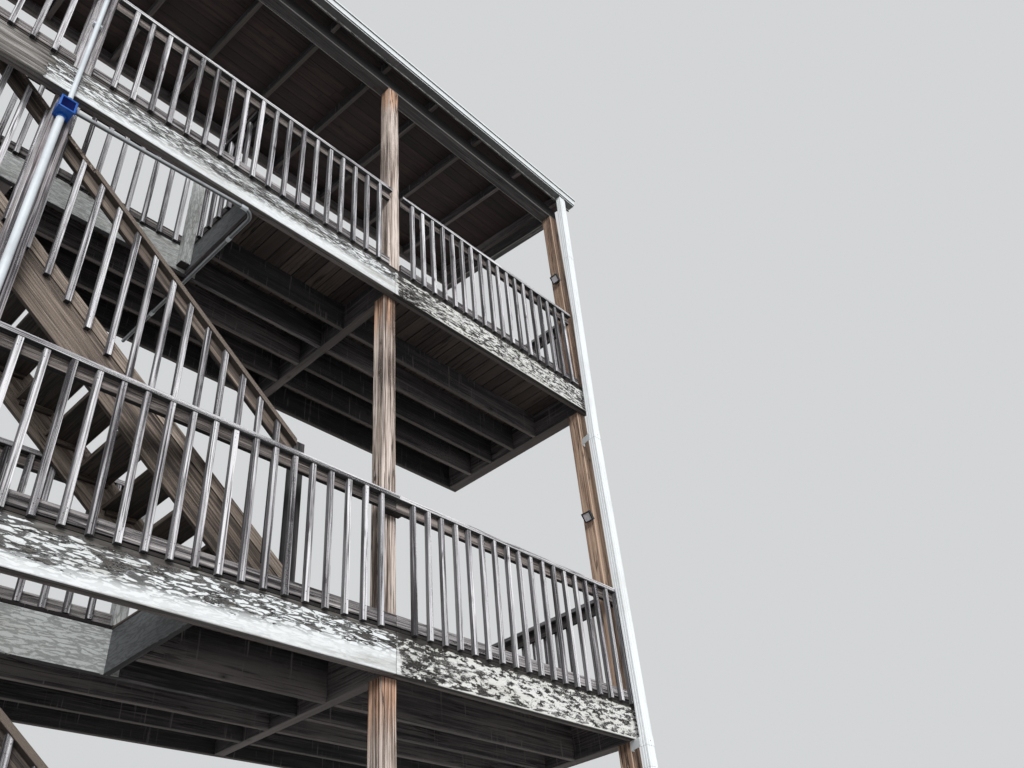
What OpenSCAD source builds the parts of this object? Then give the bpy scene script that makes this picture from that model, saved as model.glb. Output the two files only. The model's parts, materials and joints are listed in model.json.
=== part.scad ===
/* [Bays] */
// Distance between post centres in the two left bays
bay_w = 3060; // [2400:10:3600]
// Distance between post centres in the right end bay
end_bay_w = 2840; // [2200:10:3400]
// Balusters in the front guard of one bay
bay_balusters = 18; // [12:1:24]

/* [Storeys] */
// Height from one walking surface to the next
storey_h = 3605; // [3200:5:4000]
// Height of the roof beam's underside over the upper walking surface
roof_head = 2930; // [2400:10:3400]

/* [Posts] */
// Width of a square post
post_w = 140; // [110:1:170]
// Distance of the lower posts behind the face of the rim boards
post_back = 80; // [75:1:110]
// Distance of the upper storey's posts behind the face of the rim boards
upper_post_back = 18; // [5:1:40]

/* [Floor frames] */
// Depth of a gallery from the rim face to the wall
gallery_d = 2200; // [2000:10:2500]
// Height of the rim boards, girders and joists
rim_h = 302; // [240:1:340]
// Thickness of a rim board, joist, header or wall ledger
joist_t = 45; // [38:1:55]
// Thickness of the inner ply that stiffens the rim
ply_t = 35; // [25:1:40]
// Distance from the rim face to the middle of the first joist
first_joist = 730; // [660:5:780]
// Distance between joist middles
joist_pitch = 353; // [330:1:380]
// Width of a cross girder
girder_w = 90; // [75:1:120]
// Thickness of the deck
deck_t = 28; // [20:1:40]
// Width of the deck strip on the rim beside the stairwell
edge_strip_w = 90; // [80:1:110]

/* [Guards] */
// Height of the gallery guards over the walking surface
guard_h = 1069; // [950:1:1150]
// Thickness of a cap board
cap_t = 38; // [30:1:45]
// Width of a full cap board
cap_w = 140; // [120:1:150]
// Height of the rails that carry the balusters
rail_h = 89; // [70:1:100]
// Thickness of the rails
rail_t = 38; // [30:1:45]
// Width of a square baluster
baluster_w = 38; // [30:1:45]
// Overhang of the cap in front of the balusters
cap_lip = 7; // [2:1:20]
// Gap between the walking surface and the bottom rail
rail_gap = 8; // [4:1:30]
// Length of a baluster's foot under the walking surface
foot_drop = 34; // [10:1:60]
// Distance between balusters where the count isn't set by the bay
baluster_pitch = 154; // [130:1:180]
// Width of a square newel
newel_w = 90; // [75:1:110]
// Height of the well newel's foot over the rim's lower edge
newel_foot = 40; // [10:1:100]

/* [Stairs] */
// Distance from the middle of the second post to the stairwell's left side
well_left = 1890; // [1700:5:2000]
// Distance from the middle of the second post to the stairwell's right side
well_right = 1520; // [1350:5:1600]
// Steps from one floor to the next, the last one onto the floor
risers = 18; // [16:1:20]
// Going of one step
tread_run = 244; // [220:1:260]
// Overlap of each tread over the one below it
nosing = 25; // [15:1:40]
// Thickness of a tread
tread_t = 38; // [30:1:50]
// Thickness of a stringer
stringer_t = 38; // [30:1:50]
// Depth of a stringer, square to its slope
stringer_h = 286; // [260:1:300]
// Height of the stringer's upper edge over the line of the nosings
stringer_rise = 20; // [5:1:40]
// Height of the stair guard over the line of the nosings
stair_guard_h = 1178; // [1000:1:1250]
// Length of a stair baluster's foot under the line of the nosings
stair_foot_drop = 16; // [0:1:60]
// Balusters in the guard of one flight
stair_balusters = 24; // [20:1:28]
// Clearance between the posts and the stair's balusters
post_clear = 5; // [3:1:30]
// Depth of the notch that lets the upper part of the cap pass the post
cap_notch = 15; // [5:1:20]
// Distance from the middle of the second post to the end of that notch
notch_end = 350; // [200:5:600]

/* [Roof] */
// Height of the roof beams
beam_h = 190; // [150:1:240]
// Width of the front roof beam
beam_w = 160; // [140:1:170]
// Width of the side beams under the roof's ends
side_beam_w = 90; // [60:1:120]
// Height of a rafter
rafter_h = 140; // [120:1:180]
// Thickness of a rafter
rafter_t = 48; // [38:1:60]
// Rafters from end to end
rafters_n = 13; // [9:1:17]
// Rise of the roof over one metre
roof_rise = 110; // [40:5:200]
// Distance of the fascia's face in front of the rim face
eave = 140; // [100:5:250]
// Thickness of the fascia
fascia_t = 20; // [15:1:30]
// Drop of the fascia's lower edge under the top of the beam
fascia_drop = 50; // [35:1:80]
// Thickness of the roof boards
roof_t = 22; // [15:1:30]
// Overhang of the roof past the end posts
roof_end = 110; // [60:5:150]

/* [Gutter] */
// Height of the gutter
gutter_h = 100; // [80:1:120]
// Width of the gutter at its bottom
gutter_foot = 85; // [70:1:100]
// Width of the gutter at its top
gutter_top = 127; // [110:1:150]
// Thickness of the gutter and downspout walls
sheet_t = 3; // [2:0.5:5]
// Height of the upright part at the bottom of the gutter's front
gutter_kick = 40; // [25:1:50]
// Height of the upright lip at the top of the gutter's front
gutter_lip = 25; // [15:1:35]
// Drop of the gutter's bottom under the top of the beam
gutter_drop = 15; // [0:1:30]
// Width of the downspout along the gallery
spout_w = 105; // [80:1:110]
// Depth of the downspout towards the wall
spout_d = 72; // [60:1:80]
// Distance of the downspout's left side from the right side of the end post
spout_in = 180; // [150:5:300]
// Gap between the cap of the lower guard and the downspout
spout_gap = 8; // [4:1:20]
// Distance under the upper frame from which the downspout leans out to the gutter
lean_drop = 380; // [200:10:1000]
// Height of the downspout's outlet over the ground
spout_foot = 60; // [20:5:150]
// Height of a strap that holds the downspout
strap_h = 80; // [20:1:120]
// Length of a strap's foot on the post
strap_foot = 45; // [30:1:80]
// Height of the lowest strap over the ground
strap_low = 1800; // [600:10:2400]
// Distance of the middle strap under the lower frame
strap_drop = 80; // [40:5:400]

/* [Electrical] */
// Distance of the riser and its box to the left of the second post's middle
riser_in = 16; // [0:1:25]
// Diameter of the riser below the box
riser_d = 56; // [40:1:60]
// Diameter of the conduit above the box
conduit_d = 37; // [25:1:40]
// Diameter of the branch conduit
branch_d = 34; // [20:1:40]
// Bend radius of the branch conduit
branch_r = 100; // [60:5:150]
// Height of the branch over the bottom of the box, where it leaves the box
branch_up = 76; // [30:1:90]
// Distance of the branch's bend behind the face of the rim boards
branch_in = 55; // [20:1:80]
// Length of the coupling between the branch's run and its bend
coupling_l = 60; // [40:5:100]
// Wall thickness of that coupling
coupling_t = 3; // [2:0.5:5]
// Height of a clamp on the riser or the conduit
clamp_h = 20; // [15:1:30]
// Width of a clamp's ear beside the pipe
clamp_ear = 14; // [8:1:20]
// Height of the riser's lower clamp over the lower walking surface
riser_clamp_low = 400; // [200:10:800]
// Height of the riser's upper clamp over the lower walking surface
riser_clamp_high = 1200; // [900:10:2600]
// Height of the conduit's lower clamp over the upper walking surface
conduit_clamp_low = 630; // [300:10:1200]
// Height of the conduit's upper clamp over the upper walking surface
conduit_clamp_high = 2000; // [1400:10:2300]
// Width of the junction box
box_w = 110; // [100:1:130]
// Depth of the junction box
box_d = 102; // [98:1:110]
// Height of the junction box
box_h = 128; // [120:1:160]
// Distance of the box under the upper frame
box_drop = 95; // [20:5:200]
// Thickness of the box's lid
lid_t = 10; // [6:1:15]
// Overhang of the lid round the box
lid_lip = 4; // [2:1:8]
// Height of the lower flood light over the lower walking surface
lower_light_z = 1930; // [1500:10:2200]
// Height of the upper flood light over the upper walking surface
upper_light_z = 1720; // [1500:10:2200]
// Distance of a flood light's middle behind the front of its post
light_back = 32; // [27:1:90]
// Width of a flood light's face
light_w = 105; // [80:1:140]
// Depth of a flood light's housing
light_d = 38; // [25:1:60]
// Width of a flood light's square foot on the post
light_foot = 52; // [40:1:70]
// Thickness of the arm and of that foot
light_arm = 18; // [12:1:24]
// Reach of the arm from the post to the housing
light_reach = 48; // [45:1:80]
// Angle by which a flood light faces down
light_tilt = 35; // [0:5:60]

/* [Hidden] */

grey_wood = "#9a9490";
tan_wood = "#a98b6c";
dark_wood = "#5a4f48";
old_paint = "#dad8cc";
white_metal = "#f2f3f2";

// Depth by which a face-nailed piece bites into the piece that carries it
bite = 2;
// Joint between boards that lie end to end
joint = 3;
// Clearance where one timber of a frame seats on another
seat = 0.3;
// Sides of a round pipe and of its bend's full circle
pipe_sides = 32;
bend_sides = 64;

// Post middles along the gallery, with the second post at the origin
post_x = [-bay_w, 0, bay_w, bay_w + end_bay_w];
bays = [0, 1, 2];
floors = [1, 2];
left_end = post_x[0] - post_w / 2;
right_end = post_x[3] + post_w / 2;

// Faces across the gallery, with the lower posts' middle at the origin
rim_y = -(post_back + post_w / 2);
wall_y = rim_y + gallery_d;
ply_y = rim_y + joist_t;
frame_y = ply_y + ply_t;
ledger_y = wall_y - joist_t;
trimmer_y = rim_y + first_joist + joist_pitch - joist_t / 2;
upper_post_y = rim_y + upper_post_back;

// Heights of the walking surfaces and of the frames under them
function floor_z(f) = f * storey_h;
function frame_top(f) = floor_z(f) - deck_t;
function frame_low(f) = frame_top(f) - rim_h;

// Stair planes, from the posts towards the wall
stair_face = post_w / 2 + post_clear + baluster_w;
inner_face = trimmer_y - stringer_t;
riser_h = storey_h / risers;
slope = riser_h / tread_run;
slope_len = sqrt(1 + slope * slope);
treads_n = risers - 1;
flight_run = treads_n * tread_run;
tread_d = tread_run + nosing;
stair_foot_x = flight_run - well_left;

// Height of the nosing line at x under the floor that the flight leads up to
function nosing_z(f, x) = floor_z(f) - slope * (x + well_left);

// Roof planes
beam_z = floor_z(2) + roof_head;
beam_top = beam_z + beam_h;
beam_y = rim_y + upper_post_back;
beam_in = beam_y + beam_w;
roof_slope = roof_rise / 1000;
roof_len = sqrt(1 + roof_slope * roof_slope);
fascia_y = rim_y - eave;
tail_y = fascia_y + fascia_t;
roof_left = left_end - roof_end;
roof_right = right_end + roof_end;
function rafter_low(y) = beam_top + roof_slope * (y - beam_in);
function rafter_top(y) = rafter_low(y) + rafter_h * roof_len;
gutter_z = beam_top - gutter_drop;
gutter_mid = fascia_y - gutter_foot / 2;
spout_x = right_end - spout_in;
spout_y = rim_y - baluster_w - cap_lip - spout_gap - spout_d / 2;
lean_z = frame_low(2) - lean_drop;

// Electrical lines
riser_x = -riser_in;
riser_y = -post_w / 2 - riser_d / 2;
conduit_y = rim_y - conduit_d / 2;
box_top = frame_low(2) - box_drop;
box_low = box_top - box_h;
branch_x = well_right + joist_t;
branch_start = [riser_x + box_w / 2 - bite, rim_y + branch_d / 2, box_low + branch_up];
branch_end = [branch_x - branch_r, rim_y + branch_in, frame_low(2) - branch_d / 2 - coupling_t];

// A board given by its lowest and highest corners
module board(lo, hi) {
    translate(lo) cube(hi - lo);
}

// A plate with its outline in X and Z, from y0 to y1
module upright_plate(y0, y1, outline) {
    translate([0, y1, 0]) rotate([90, 0, 0]) linear_extrude(y1 - y0) polygon(outline);
}

// A plate with its outline in Y and Z, from x0 to x1
module cross_plate(x0, x1, outline) {
    translate([x0, 0, 0]) rotate([90, 0, 90]) linear_extrude(x1 - x0) polygon(outline);
}

// One post on all three storeys: each length stands on the frame below it
module post_stack(x) {
    x0 = x - post_w / 2;
    x1 = x + post_w / 2;
    board([x0, -post_w / 2, 0], [x1, post_w / 2, frame_low(1)]);
    board([x0, -post_w / 2, frame_top(1)], [x1, post_w / 2, frame_low(2)]);
    board([x0, upper_post_y, frame_top(2)], [x1, upper_post_y + post_w, beam_z]);
}

module end_post_left() {
    color(grey_wood) post_stack(post_x[0]);
}

module post_left() {
    color(grey_wood) post_stack(post_x[1]);
}

module post_right() {
    color(tan_wood) post_stack(post_x[2]);
}

module end_post_right() {
    color(tan_wood) post_stack(post_x[3]);
}

// Outer boards of a floor, one a bay, that meet at the posts
module rim_boards(f) {
    for (i = bays) {
        x0 = i == 0 ? left_end : post_x[i] + joint / 2;
        x1 = i == 2 ? right_end : post_x[i + 1] - joint / 2;
        board([x0, rim_y, frame_low(f)], [x1, ply_y, frame_top(f)]);
    }
}

module lower_rim() {
    color(old_paint) rim_boards(1);
}

module upper_rim() {
    color(old_paint) rim_boards(2);
}

// Inner plies behind the rim boards, which carry the deck and the frame
module rim_plies() {
    color(dark_wood)
        for (f = floors)
            board([left_end, ply_y, frame_low(f)], [right_end, frame_y, frame_top(f)]);
}

// Left and right faces of the girder at each post; the end girders are post wide
girder_x0 = [left_end, -girder_w / 2, bay_w - girder_w / 2, right_end - post_w];
girder_x1 = [left_end + post_w, girder_w / 2, bay_w + girder_w / 2, right_end];

module cross_girders() {
    color(dark_wood)
        for (f = floors) {
            for (i = [0, 2, 3])
                board([girder_x0[i], frame_y, frame_low(f)], [girder_x1[i], ledger_y, frame_top(f)]);
            // The girder at the stairwell runs from the trimmer to the wall
            board([girder_x0[1], trimmer_y + joist_t, frame_low(f)],
                [girder_x1[1], ledger_y, frame_top(f)]);
            // Block between the posts in the stairwell
            board([-post_w / 2, frame_y, frame_low(f)], [post_w / 2, post_w / 2, frame_top(f)]);
        }
}

// A joist between two girders at the given line
module joist(f, x0, x1, line) {
    y = rim_y + first_joist + line * joist_pitch;
    board([x0, y - joist_t / 2, frame_low(f)], [x1, y + joist_t / 2, frame_top(f)]);
}

// Joist lines behind the trimmer, as many as fit before the wall ledger
last_line = floor((ledger_y - joist_t - rim_y - first_joist) / joist_pitch);

module joists(f) {
    joist(f, girder_x1[0], -well_left - joist_t, 0);
    joist(f, well_right + joist_t, girder_x0[2], 0);
    for (line = [0, 1]) joist(f, girder_x1[2], girder_x0[3], line);
    for (i = bays, line = [2:last_line]) joist(f, girder_x1[i], girder_x0[i + 1], line);
}

module lower_joists() {
    color(dark_wood) joists(1);
}

module upper_joists() {
    color(dark_wood) joists(2);
}

// Boards bolted to the wall: two carry the galleries and one the rafters
module wall_ledgers() {
    color(dark_wood) {
        for (f = floors) board([left_end, ledger_y, frame_low(f)], [right_end, wall_y, frame_top(f)]);
        board([left_end, ledger_y, rafter_top(ledger_y) - beam_h], [right_end, wall_y, rafter_top(ledger_y)]);
    }
}

// Painted boards round the stairwell: one trimmer and a header at each end
module trimmers(f) {
    board([girder_x1[0], trimmer_y, frame_low(f)], [girder_x0[2], trimmer_y + joist_t, frame_top(f)]);
    for (x = [-well_left - joist_t, well_right])
        board([x, frame_y, frame_low(f)], [x + joist_t, trimmer_y - seat, frame_top(f)]);
}

module lower_trimmers() {
    color(old_paint) trimmers(1);
}

module upper_trimmers() {
    color(old_paint) trimmers(2);
}

// Notches in the deck round the posts that stand on the frame of this floor
module post_notches(f) {
    y0 = f == 1 ? -post_w / 2 : upper_post_y;
    for (x = post_x)
        board([x - post_w / 2, y0, frame_low(f)], [x + post_w / 2, y0 + post_w, floor_z(f) + post_w]);
}

// Deck slabs left, right and behind the stairwell, and a strip on the rim
module deck(f) {
    z0 = frame_top(f);
    z1 = floor_z(f);
    difference() {
        union() {
            board([left_end, rim_y, z0], [-well_left, wall_y, z1]);
            board([well_right, rim_y, z0], [right_end, wall_y, z1]);
            board([-well_left + joint, trimmer_y, z0], [well_right - joint, wall_y, z1]);
            board([-well_left + joint, rim_y, z0], [-post_w / 2, rim_y + edge_strip_w, z1]);
            board([post_w / 2, rim_y, z0], [well_right - joint, rim_y + edge_strip_w, z1]);
        }
        post_notches(f);
    }
}

module lower_deck() {
    color(grey_wood) deck(1);
}

module upper_deck() {
    color(grey_wood) deck(2);
}

// Straight guard along X: balusters nailed to the front of two rails, under a cap.
// Its front is at y = 0, its rails are behind that, and z = 0 is the walking surface.
module guard(length, count, cap_back, foot) {
    step = length / (count + 1);
    cap_z = guard_h - cap_t;
    board([0, -baluster_w - cap_lip, cap_z], [length, cap_back, guard_h]);
    board([0, -bite, cap_z - rail_h], [length, rail_t, cap_z + bite]);
    board([0, -bite, rail_gap], [length, rail_t, rail_gap + rail_h]);
    for (i = [1:count])
        board([i * step - baluster_w / 2, -baluster_w, -foot], [i * step + baluster_w / 2, 0, cap_z + bite]);
}

function count_for(length) = max(1, round(length / baluster_pitch) - 1);

// Front guards of the lower gallery pass in front of the set-back posts on packing blocks
module lower_front_guard(x0, x1) {
    length = x1 - x0;
    translate([x0, rim_y, floor_z(1)]) {
        guard(length, bay_balusters, post_back, foot_drop);
        for (x = [0, length - rail_h], z = [rail_gap, guard_h - cap_t - rail_h])
            board([x, rail_t - bite, z], [x + rail_h, post_back, z + rail_h]);
    }
}

// Half the slot between two guards that the riser passes through
slot = riser_d / 2 + joint;

module lower_guard_left() {
    color(grey_wood) lower_front_guard(left_end, riser_x - slot);
}

module lower_guard_middle() {
    color(grey_wood) lower_front_guard(riser_x + slot, bay_w);
}

module lower_guard_right() {
    color(grey_wood) lower_front_guard(bay_w, right_end);
}

// Front guards of the upper gallery fit between the posts
module upper_front_guard(i) {
    x0 = post_x[i] + post_w / 2;
    x1 = post_x[i + 1] - post_w / 2;
    translate([x0, rim_y, floor_z(2)])
        guard(x1 - x0, bay_balusters, cap_w - baluster_w - cap_lip, foot_drop);
}

module upper_guard_left() {
    color(grey_wood) upper_front_guard(0);
}

module upper_guard_middle() {
    color(grey_wood) upper_front_guard(1);
}

module upper_guard_right() {
    color(grey_wood) upper_front_guard(2);
}

// End guard from the corner post to the wall, with its front to the outside
module end_guard(x, side, y0, f) {
    length = wall_y - y0;
    translate([x, side > 0 ? y0 : wall_y, floor_z(f)]) rotate([0, 0, side * 90])
        translate([0, -rail_t / 2, 0])
            guard(length, count_for(length), cap_w - baluster_w - cap_lip, -rail_gap);
}

module lower_end_guard_left() {
    color(grey_wood) end_guard(post_x[0], -1, post_w / 2, 1);
}

module lower_end_guard_right() {
    color(grey_wood) end_guard(post_x[3], 1, post_w / 2, 1);
}

module upper_end_guard_left() {
    color(grey_wood) end_guard(post_x[0], -1, upper_post_y + post_w, 2);
}

module upper_end_guard_right() {
    color(grey_wood) end_guard(post_x[3], 1, upper_post_y + post_w, 2);
}

cap_behind = cap_w - baluster_w - cap_lip;

// Guard along the trimmer of the upper floor, with its front to the stairwell
module upper_well_guard() {
    length = well_right + well_left;
    color(grey_wood) translate([-well_left, trimmer_y, floor_z(2)]) {
        difference() {
            guard(length, count_for(length), cap_behind, foot_drop);
            // The balusters stop at the newel in the corner
            board([length - newel_w, -newel_w, -rim_h], [length, 0, guard_h - cap_t]);
        }
        board([length, -cap_lip, guard_h - cap_t], [length + cap_behind, cap_behind, guard_h]);
    }
}

// Guard along the trimmer of the lower floor: it stands on the deck beside the flight
// that rises from that floor
module lower_well_guard() {
    length = well_right + well_left;
    color(grey_wood)
        translate([-well_left, trimmer_y + baluster_w + cap_lip + joint, floor_z(1)])
            guard(length, count_for(length), cap_behind, -rail_gap);
}

// Guard along the right header of the upper floor, from the front guard to the newel
module well_end_guard() {
    front = rim_y + cap_behind;
    length = trimmer_y - baluster_w - cap_lip - front;
    color(grey_wood)
        translate([well_right, front + length, floor_z(2)]) rotate([0, 0, -90])
            difference() {
                guard(length, count_for(length), cap_behind, foot_drop);
                // The balusters stop at the newel in the corner
                board([-newel_w, -newel_w, -rim_h],
                    [newel_w - baluster_w - cap_lip, 0, guard_h - cap_t]);
            }
}

// Newel with its corner at x, y, from z0 to z1
module newel(x, y, z0, z1) {
    board([x, y, z0], [x + newel_w, y + newel_w, z1]);
}

module newels() {
    stair_newel_y = stair_face + stringer_t / 2 - newel_w / 2;
    color(old_paint) {
        // In the upper stairwell's corner, under the caps of both guards
        newel(well_right - newel_w, trimmer_y - newel_w, frame_low(2) + newel_foot,
            floor_z(2) + guard_h - cap_t);
        // At the right end of the lower floor's guard
        newel(well_right, trimmer_y, floor_z(1), floor_z(1) + guard_h);
        for (f = floors) {
            // At the left end of the guard along the trimmer
            newel(-well_left - newel_w, trimmer_y, floor_z(f), floor_z(f) + guard_h);
            // At the head and the foot of the stair's guard
            newel(-well_left - newel_w, stair_newel_y, floor_z(f), floor_z(f) + stair_guard_h);
            newel(stair_foot_x, stair_newel_y, floor_z(f - 1),
                nosing_z(f, stair_foot_x) + stair_guard_h);
        }
    }
}

// Outline of a board that follows the stair: its upper edge is up above the
// nosings and its plumb height is h
function slope_outline(f, x0, x1, up, h) = [
    [x0, nosing_z(f, x0) + up - h], [x1, nosing_z(f, x1) + up - h],
    [x1, nosing_z(f, x1) + up], [x0, nosing_z(f, x0) + up]];

// One stringer, cut plumb at its head and foot and level on both floors
module stringer(f, y) {
    intersection() {
        upright_plate(y, y + stringer_t,
            slope_outline(f, -well_left, stair_foot_x, stringer_rise, stringer_h * slope_len));
        board([-well_left, y, floor_z(f - 1)], [stair_foot_x, y + stringer_t, floor_z(f)]);
    }
}

module stringers(f) {
    stringer(f, stair_face);
    stringer(f, inner_face);
}

module lower_stringers() {
    color(grey_wood) stringers(1);
}

module upper_stringers() {
    color(grey_wood) stringers(2);
}

// Treads between the stringers
module treads(f) {
    for (i = [1:treads_n]) {
        x = i * tread_run - well_left;
        z = floor_z(f) - i * riser_h;
        board([max(x - tread_d, -well_left), stair_face + stringer_t, z - tread_t],
            [x, inner_face, z]);
    }
}

module lower_treads() {
    color(grey_wood) treads(1);
}

module upper_treads() {
    color(grey_wood) treads(2);
}

// Guard of one flight: sloping cap and rails, with plumb balusters on their outer
// side that run down over the stringer
module stair_guard(f) {
    cap_h = cap_t * slope_len;
    rail_up = rail_h * slope_len;
    top = stair_guard_h - cap_h;
    low = stringer_rise + rail_gap;
    cap_y = stair_face - baluster_w;
    step = flight_run / (stair_balusters + 1);
    upright_plate(cap_y, cap_y - cap_notch + cap_w,
        slope_outline(f, -well_left, stair_foot_x, stair_guard_h, cap_h));
    upright_plate(cap_y - cap_notch, cap_y + bite,
        slope_outline(f, notch_end, stair_foot_x, stair_guard_h, cap_h));
    for (up = [top + bite, low + rail_up])
        upright_plate(stair_face - bite, stair_face + rail_t,
            slope_outline(f, -well_left, stair_foot_x, up, rail_up));
    for (i = [1:stair_balusters]) {
        x = i * step - well_left;
        x1 = x + baluster_w / 2;
        board([x - baluster_w / 2, cap_y, nosing_z(f, x) - stair_foot_drop],
            [x1, stair_face, nosing_z(f, x1) + top + bite]);
    }
}

module lower_stair_guard() {
    color(grey_wood) stair_guard(1);
}

module upper_stair_guard() {
    color(grey_wood) stair_guard(2);
}

// Front beam on the posts, and a sloping beam under each end of the roof
module roof_beams() {
    side_y = beam_in + seat;
    color(dark_wood) {
        board([left_end, beam_y, beam_z], [right_end, beam_in, beam_top]);
        for (x = [left_end, right_end - side_beam_w])
            cross_plate(x, x + side_beam_w, [
                [side_y, rafter_low(side_y) - beam_h], [ledger_y, rafter_low(ledger_y) - beam_h],
                [ledger_y, rafter_low(ledger_y)], [side_y, rafter_low(side_y)]]);
    }
}

// Rafters from the fascia over the beam to the ledger, with a level seat on the beam
module rafters() {
    first = left_end + post_w / 2 + rafter_t;
    last = right_end - post_w / 2 - rafter_t;
    step = (last - first) / (rafters_n - 1);
    color(dark_wood)
        for (i = [0:rafters_n - 1]) {
            x = first + i * step - rafter_t / 2;
            difference() {
                cross_plate(x, x + rafter_t, [
                    [tail_y, rafter_low(tail_y)], [ledger_y, rafter_low(ledger_y)],
                    [ledger_y, rafter_top(ledger_y)], [tail_y, rafter_top(tail_y)]]);
                board([x - rafter_t, beam_y, beam_z], [x + 2 * rafter_t, beam_in, beam_top]);
            }
        }
}

// Board roof on the rafters
module roof_deck() {
    color(dark_wood)
        cross_plate(roof_left, roof_right, [
            [fascia_y, rafter_top(fascia_y)], [wall_y, rafter_top(wall_y)],
            [wall_y, rafter_top(wall_y) + roof_t], [fascia_y, rafter_top(fascia_y) + roof_t]]);
}

module fascia() {
    color(old_paint)
        cross_plate(roof_left, roof_right, [
            [fascia_y, beam_top - fascia_drop], [tail_y, beam_top - fascia_drop],
            [tail_y, rafter_top(tail_y)], [fascia_y, rafter_top(fascia_y)]]);
}

// Outline of the gutter, t inside its surface: a flat back and foot, and a front that
// leans out between two upright parts
function gutter_outline(t) = [
    [fascia_y - t, gutter_z + gutter_h], [fascia_y - t, gutter_z + t],
    [fascia_y - gutter_foot + t, gutter_z + t],
    [fascia_y - gutter_foot + t, gutter_z + gutter_kick],
    [fascia_y - gutter_top + t, gutter_z + gutter_h - gutter_lip],
    [fascia_y - gutter_top + t, gutter_z + gutter_h]];

// The point that lies a seat's clearance from a towards b
function off_corner(a, b) = a + (b - a) * seat / norm(b - a);

// One flat strip a side of the outline, with the outlet cut out of the foot, and two ends
module gutter() {
    outer = gutter_outline(0);
    inner = gutter_outline(sheet_t);
    x0 = roof_left + sheet_t + seat;
    x1 = roof_right - sheet_t - seat;
    outlet = [spout_x + sheet_t, spout_x + spout_w - sheet_t];
    edge = (gutter_foot - spout_d) / 2 + sheet_t;
    color(white_metal) {
        for (i = [0:len(outer) - 2]) {
            strip = [off_corner(outer[i], outer[i + 1]), off_corner(outer[i + 1], outer[i]),
                off_corner(inner[i + 1], inner[i]), off_corner(inner[i], inner[i + 1])];
            cross_plate(x0, i == 1 ? outlet[0] : x1, strip);
            if (i == 1) cross_plate(outlet[1], x1, strip);
        }
        // Edges of the foot in front of the outlet and behind it
        for (y = [fascia_y - gutter_foot + seat, fascia_y - edge])
            board([outlet[0] + seat, y, gutter_z], [outlet[1] - seat, y + edge - seat, gutter_z + sheet_t]);
        for (x = [roof_left, roof_right - sheet_t]) cross_plate(x, x + sheet_t, outer);
    }
}

// Middle of the downspout at height z: plumb up to the lean, then out to the gutter
function spout_mid(z) = z < lean_z ? spout_y
    : spout_y + (gutter_mid - spout_y) * (z - lean_z) / (gutter_z - lean_z);

// Outline of the downspout's side, t inside its surface
function spout_outline(t) = [
    [gutter_mid - spout_d / 2 + t, gutter_z], [spout_y - spout_d / 2 + t, lean_z],
    [spout_y - spout_d / 2 + t, spout_foot], [spout_y + spout_d / 2 - t, spout_foot],
    [spout_y + spout_d / 2 - t, lean_z], [gutter_mid + spout_d / 2 - t, gutter_z]];

// Strap round the downspout: a band, an arm back to the end post and a foot on its face
module strap(z) {
    face = -post_w / 2;
    back = spout_mid(z) + spout_d / 2;
    post_left_x = post_x[3] - post_w / 2;
    board([spout_x - sheet_t, back - spout_d - sheet_t, z], [spout_x + spout_w + sheet_t, back + sheet_t, z + strap_h]);
    translate([0, 0, z]) linear_extrude(strap_h)
        polygon([[spout_x - sheet_t, back], [spout_x, back], [post_left_x + sheet_t, face], [post_left_x, face]]);
    board([post_left_x, face - sheet_t, z], [post_left_x + strap_foot, face, z + strap_h]);
}

module downspout() {
    color(white_metal) difference() {
        union() {
            cross_plate(spout_x, spout_x + spout_w, spout_outline(0));
            for (z = [strap_low, frame_low(1) - strap_drop, lean_z - strap_h]) strap(z);
        }
        cross_plate(spout_x + sheet_t, spout_x + spout_w - sheet_t, spout_outline(sheet_t));
    }
}

// Upright pipe of diameter d with its middle at y, from z0 to z1
module pipe(y, d, z0, z1) {
    translate([riser_x, y, z0]) cylinder(h = z1 - z0, d = d, $fn = pipe_sides);
}

// Clamp round a pipe of diameter d, with a block on the post face behind it
module clamp(y, d, face, z) {
    half = d / 2 + clamp_ear;
    pipe(y, d + 2 * sheet_t, z, z + clamp_h);
    board([riser_x - half, y, z], [riser_x + half, face, z + clamp_h]);
}

// Riser up the second post, the conduit above the box and the branch under the frame
module conduits() {
    run = branch_end - branch_start;
    color(white_metal) {
        pipe(riser_y, riser_d, floor_z(1), box_low);
        pipe(conduit_y, conduit_d, box_top, beam_z);
        for (z = [riser_clamp_low, riser_clamp_high])
            clamp(riser_y, riser_d, -post_w / 2, floor_z(1) + z);
        for (z = [conduit_clamp_low, conduit_clamp_high])
            clamp(conduit_y, conduit_d, upper_post_y, floor_z(2) + z);
        translate(branch_start) rotate([0, acos(run[2] / norm(run)), atan2(run[1], run[0])])
            cylinder(h = norm(run), d = branch_d, $fn = pipe_sides);
        translate(branch_end - [coupling_l / 2, 0, 0]) rotate([0, 90, 0])
            cylinder(h = coupling_l, d = branch_d + 2 * coupling_t, $fn = pipe_sides);
        translate([branch_end[0], branch_end[1] + branch_r, branch_end[2]]) rotate([0, 0, -90])
            rotate_extrude(angle = 90, $fn = bend_sides) translate([branch_r, 0])
                circle(d = branch_d, $fn = pipe_sides);
        translate([branch_x, branch_end[1] + branch_r, branch_end[2]]) rotate([-90, 0, 0])
            cylinder(h = wall_y - branch_end[1] - branch_r, d = branch_d, $fn = pipe_sides);
    }
}

// Box on the second post, under the rim, with a lid that stands out round its front
module junction_box() {
    y1 = -post_w / 2;
    y0 = y1 - box_d;
    x0 = riser_x - box_w / 2;
    x1 = riser_x + box_w / 2;
    color("#1f6fc4") {
        board([x0, y0, box_low], [x1, y1, box_top]);
        board([x0 - lid_lip, y0 - lid_t, box_low - lid_lip], [x1 + lid_lip, y0 + bite, box_top]);
    }
}

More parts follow.
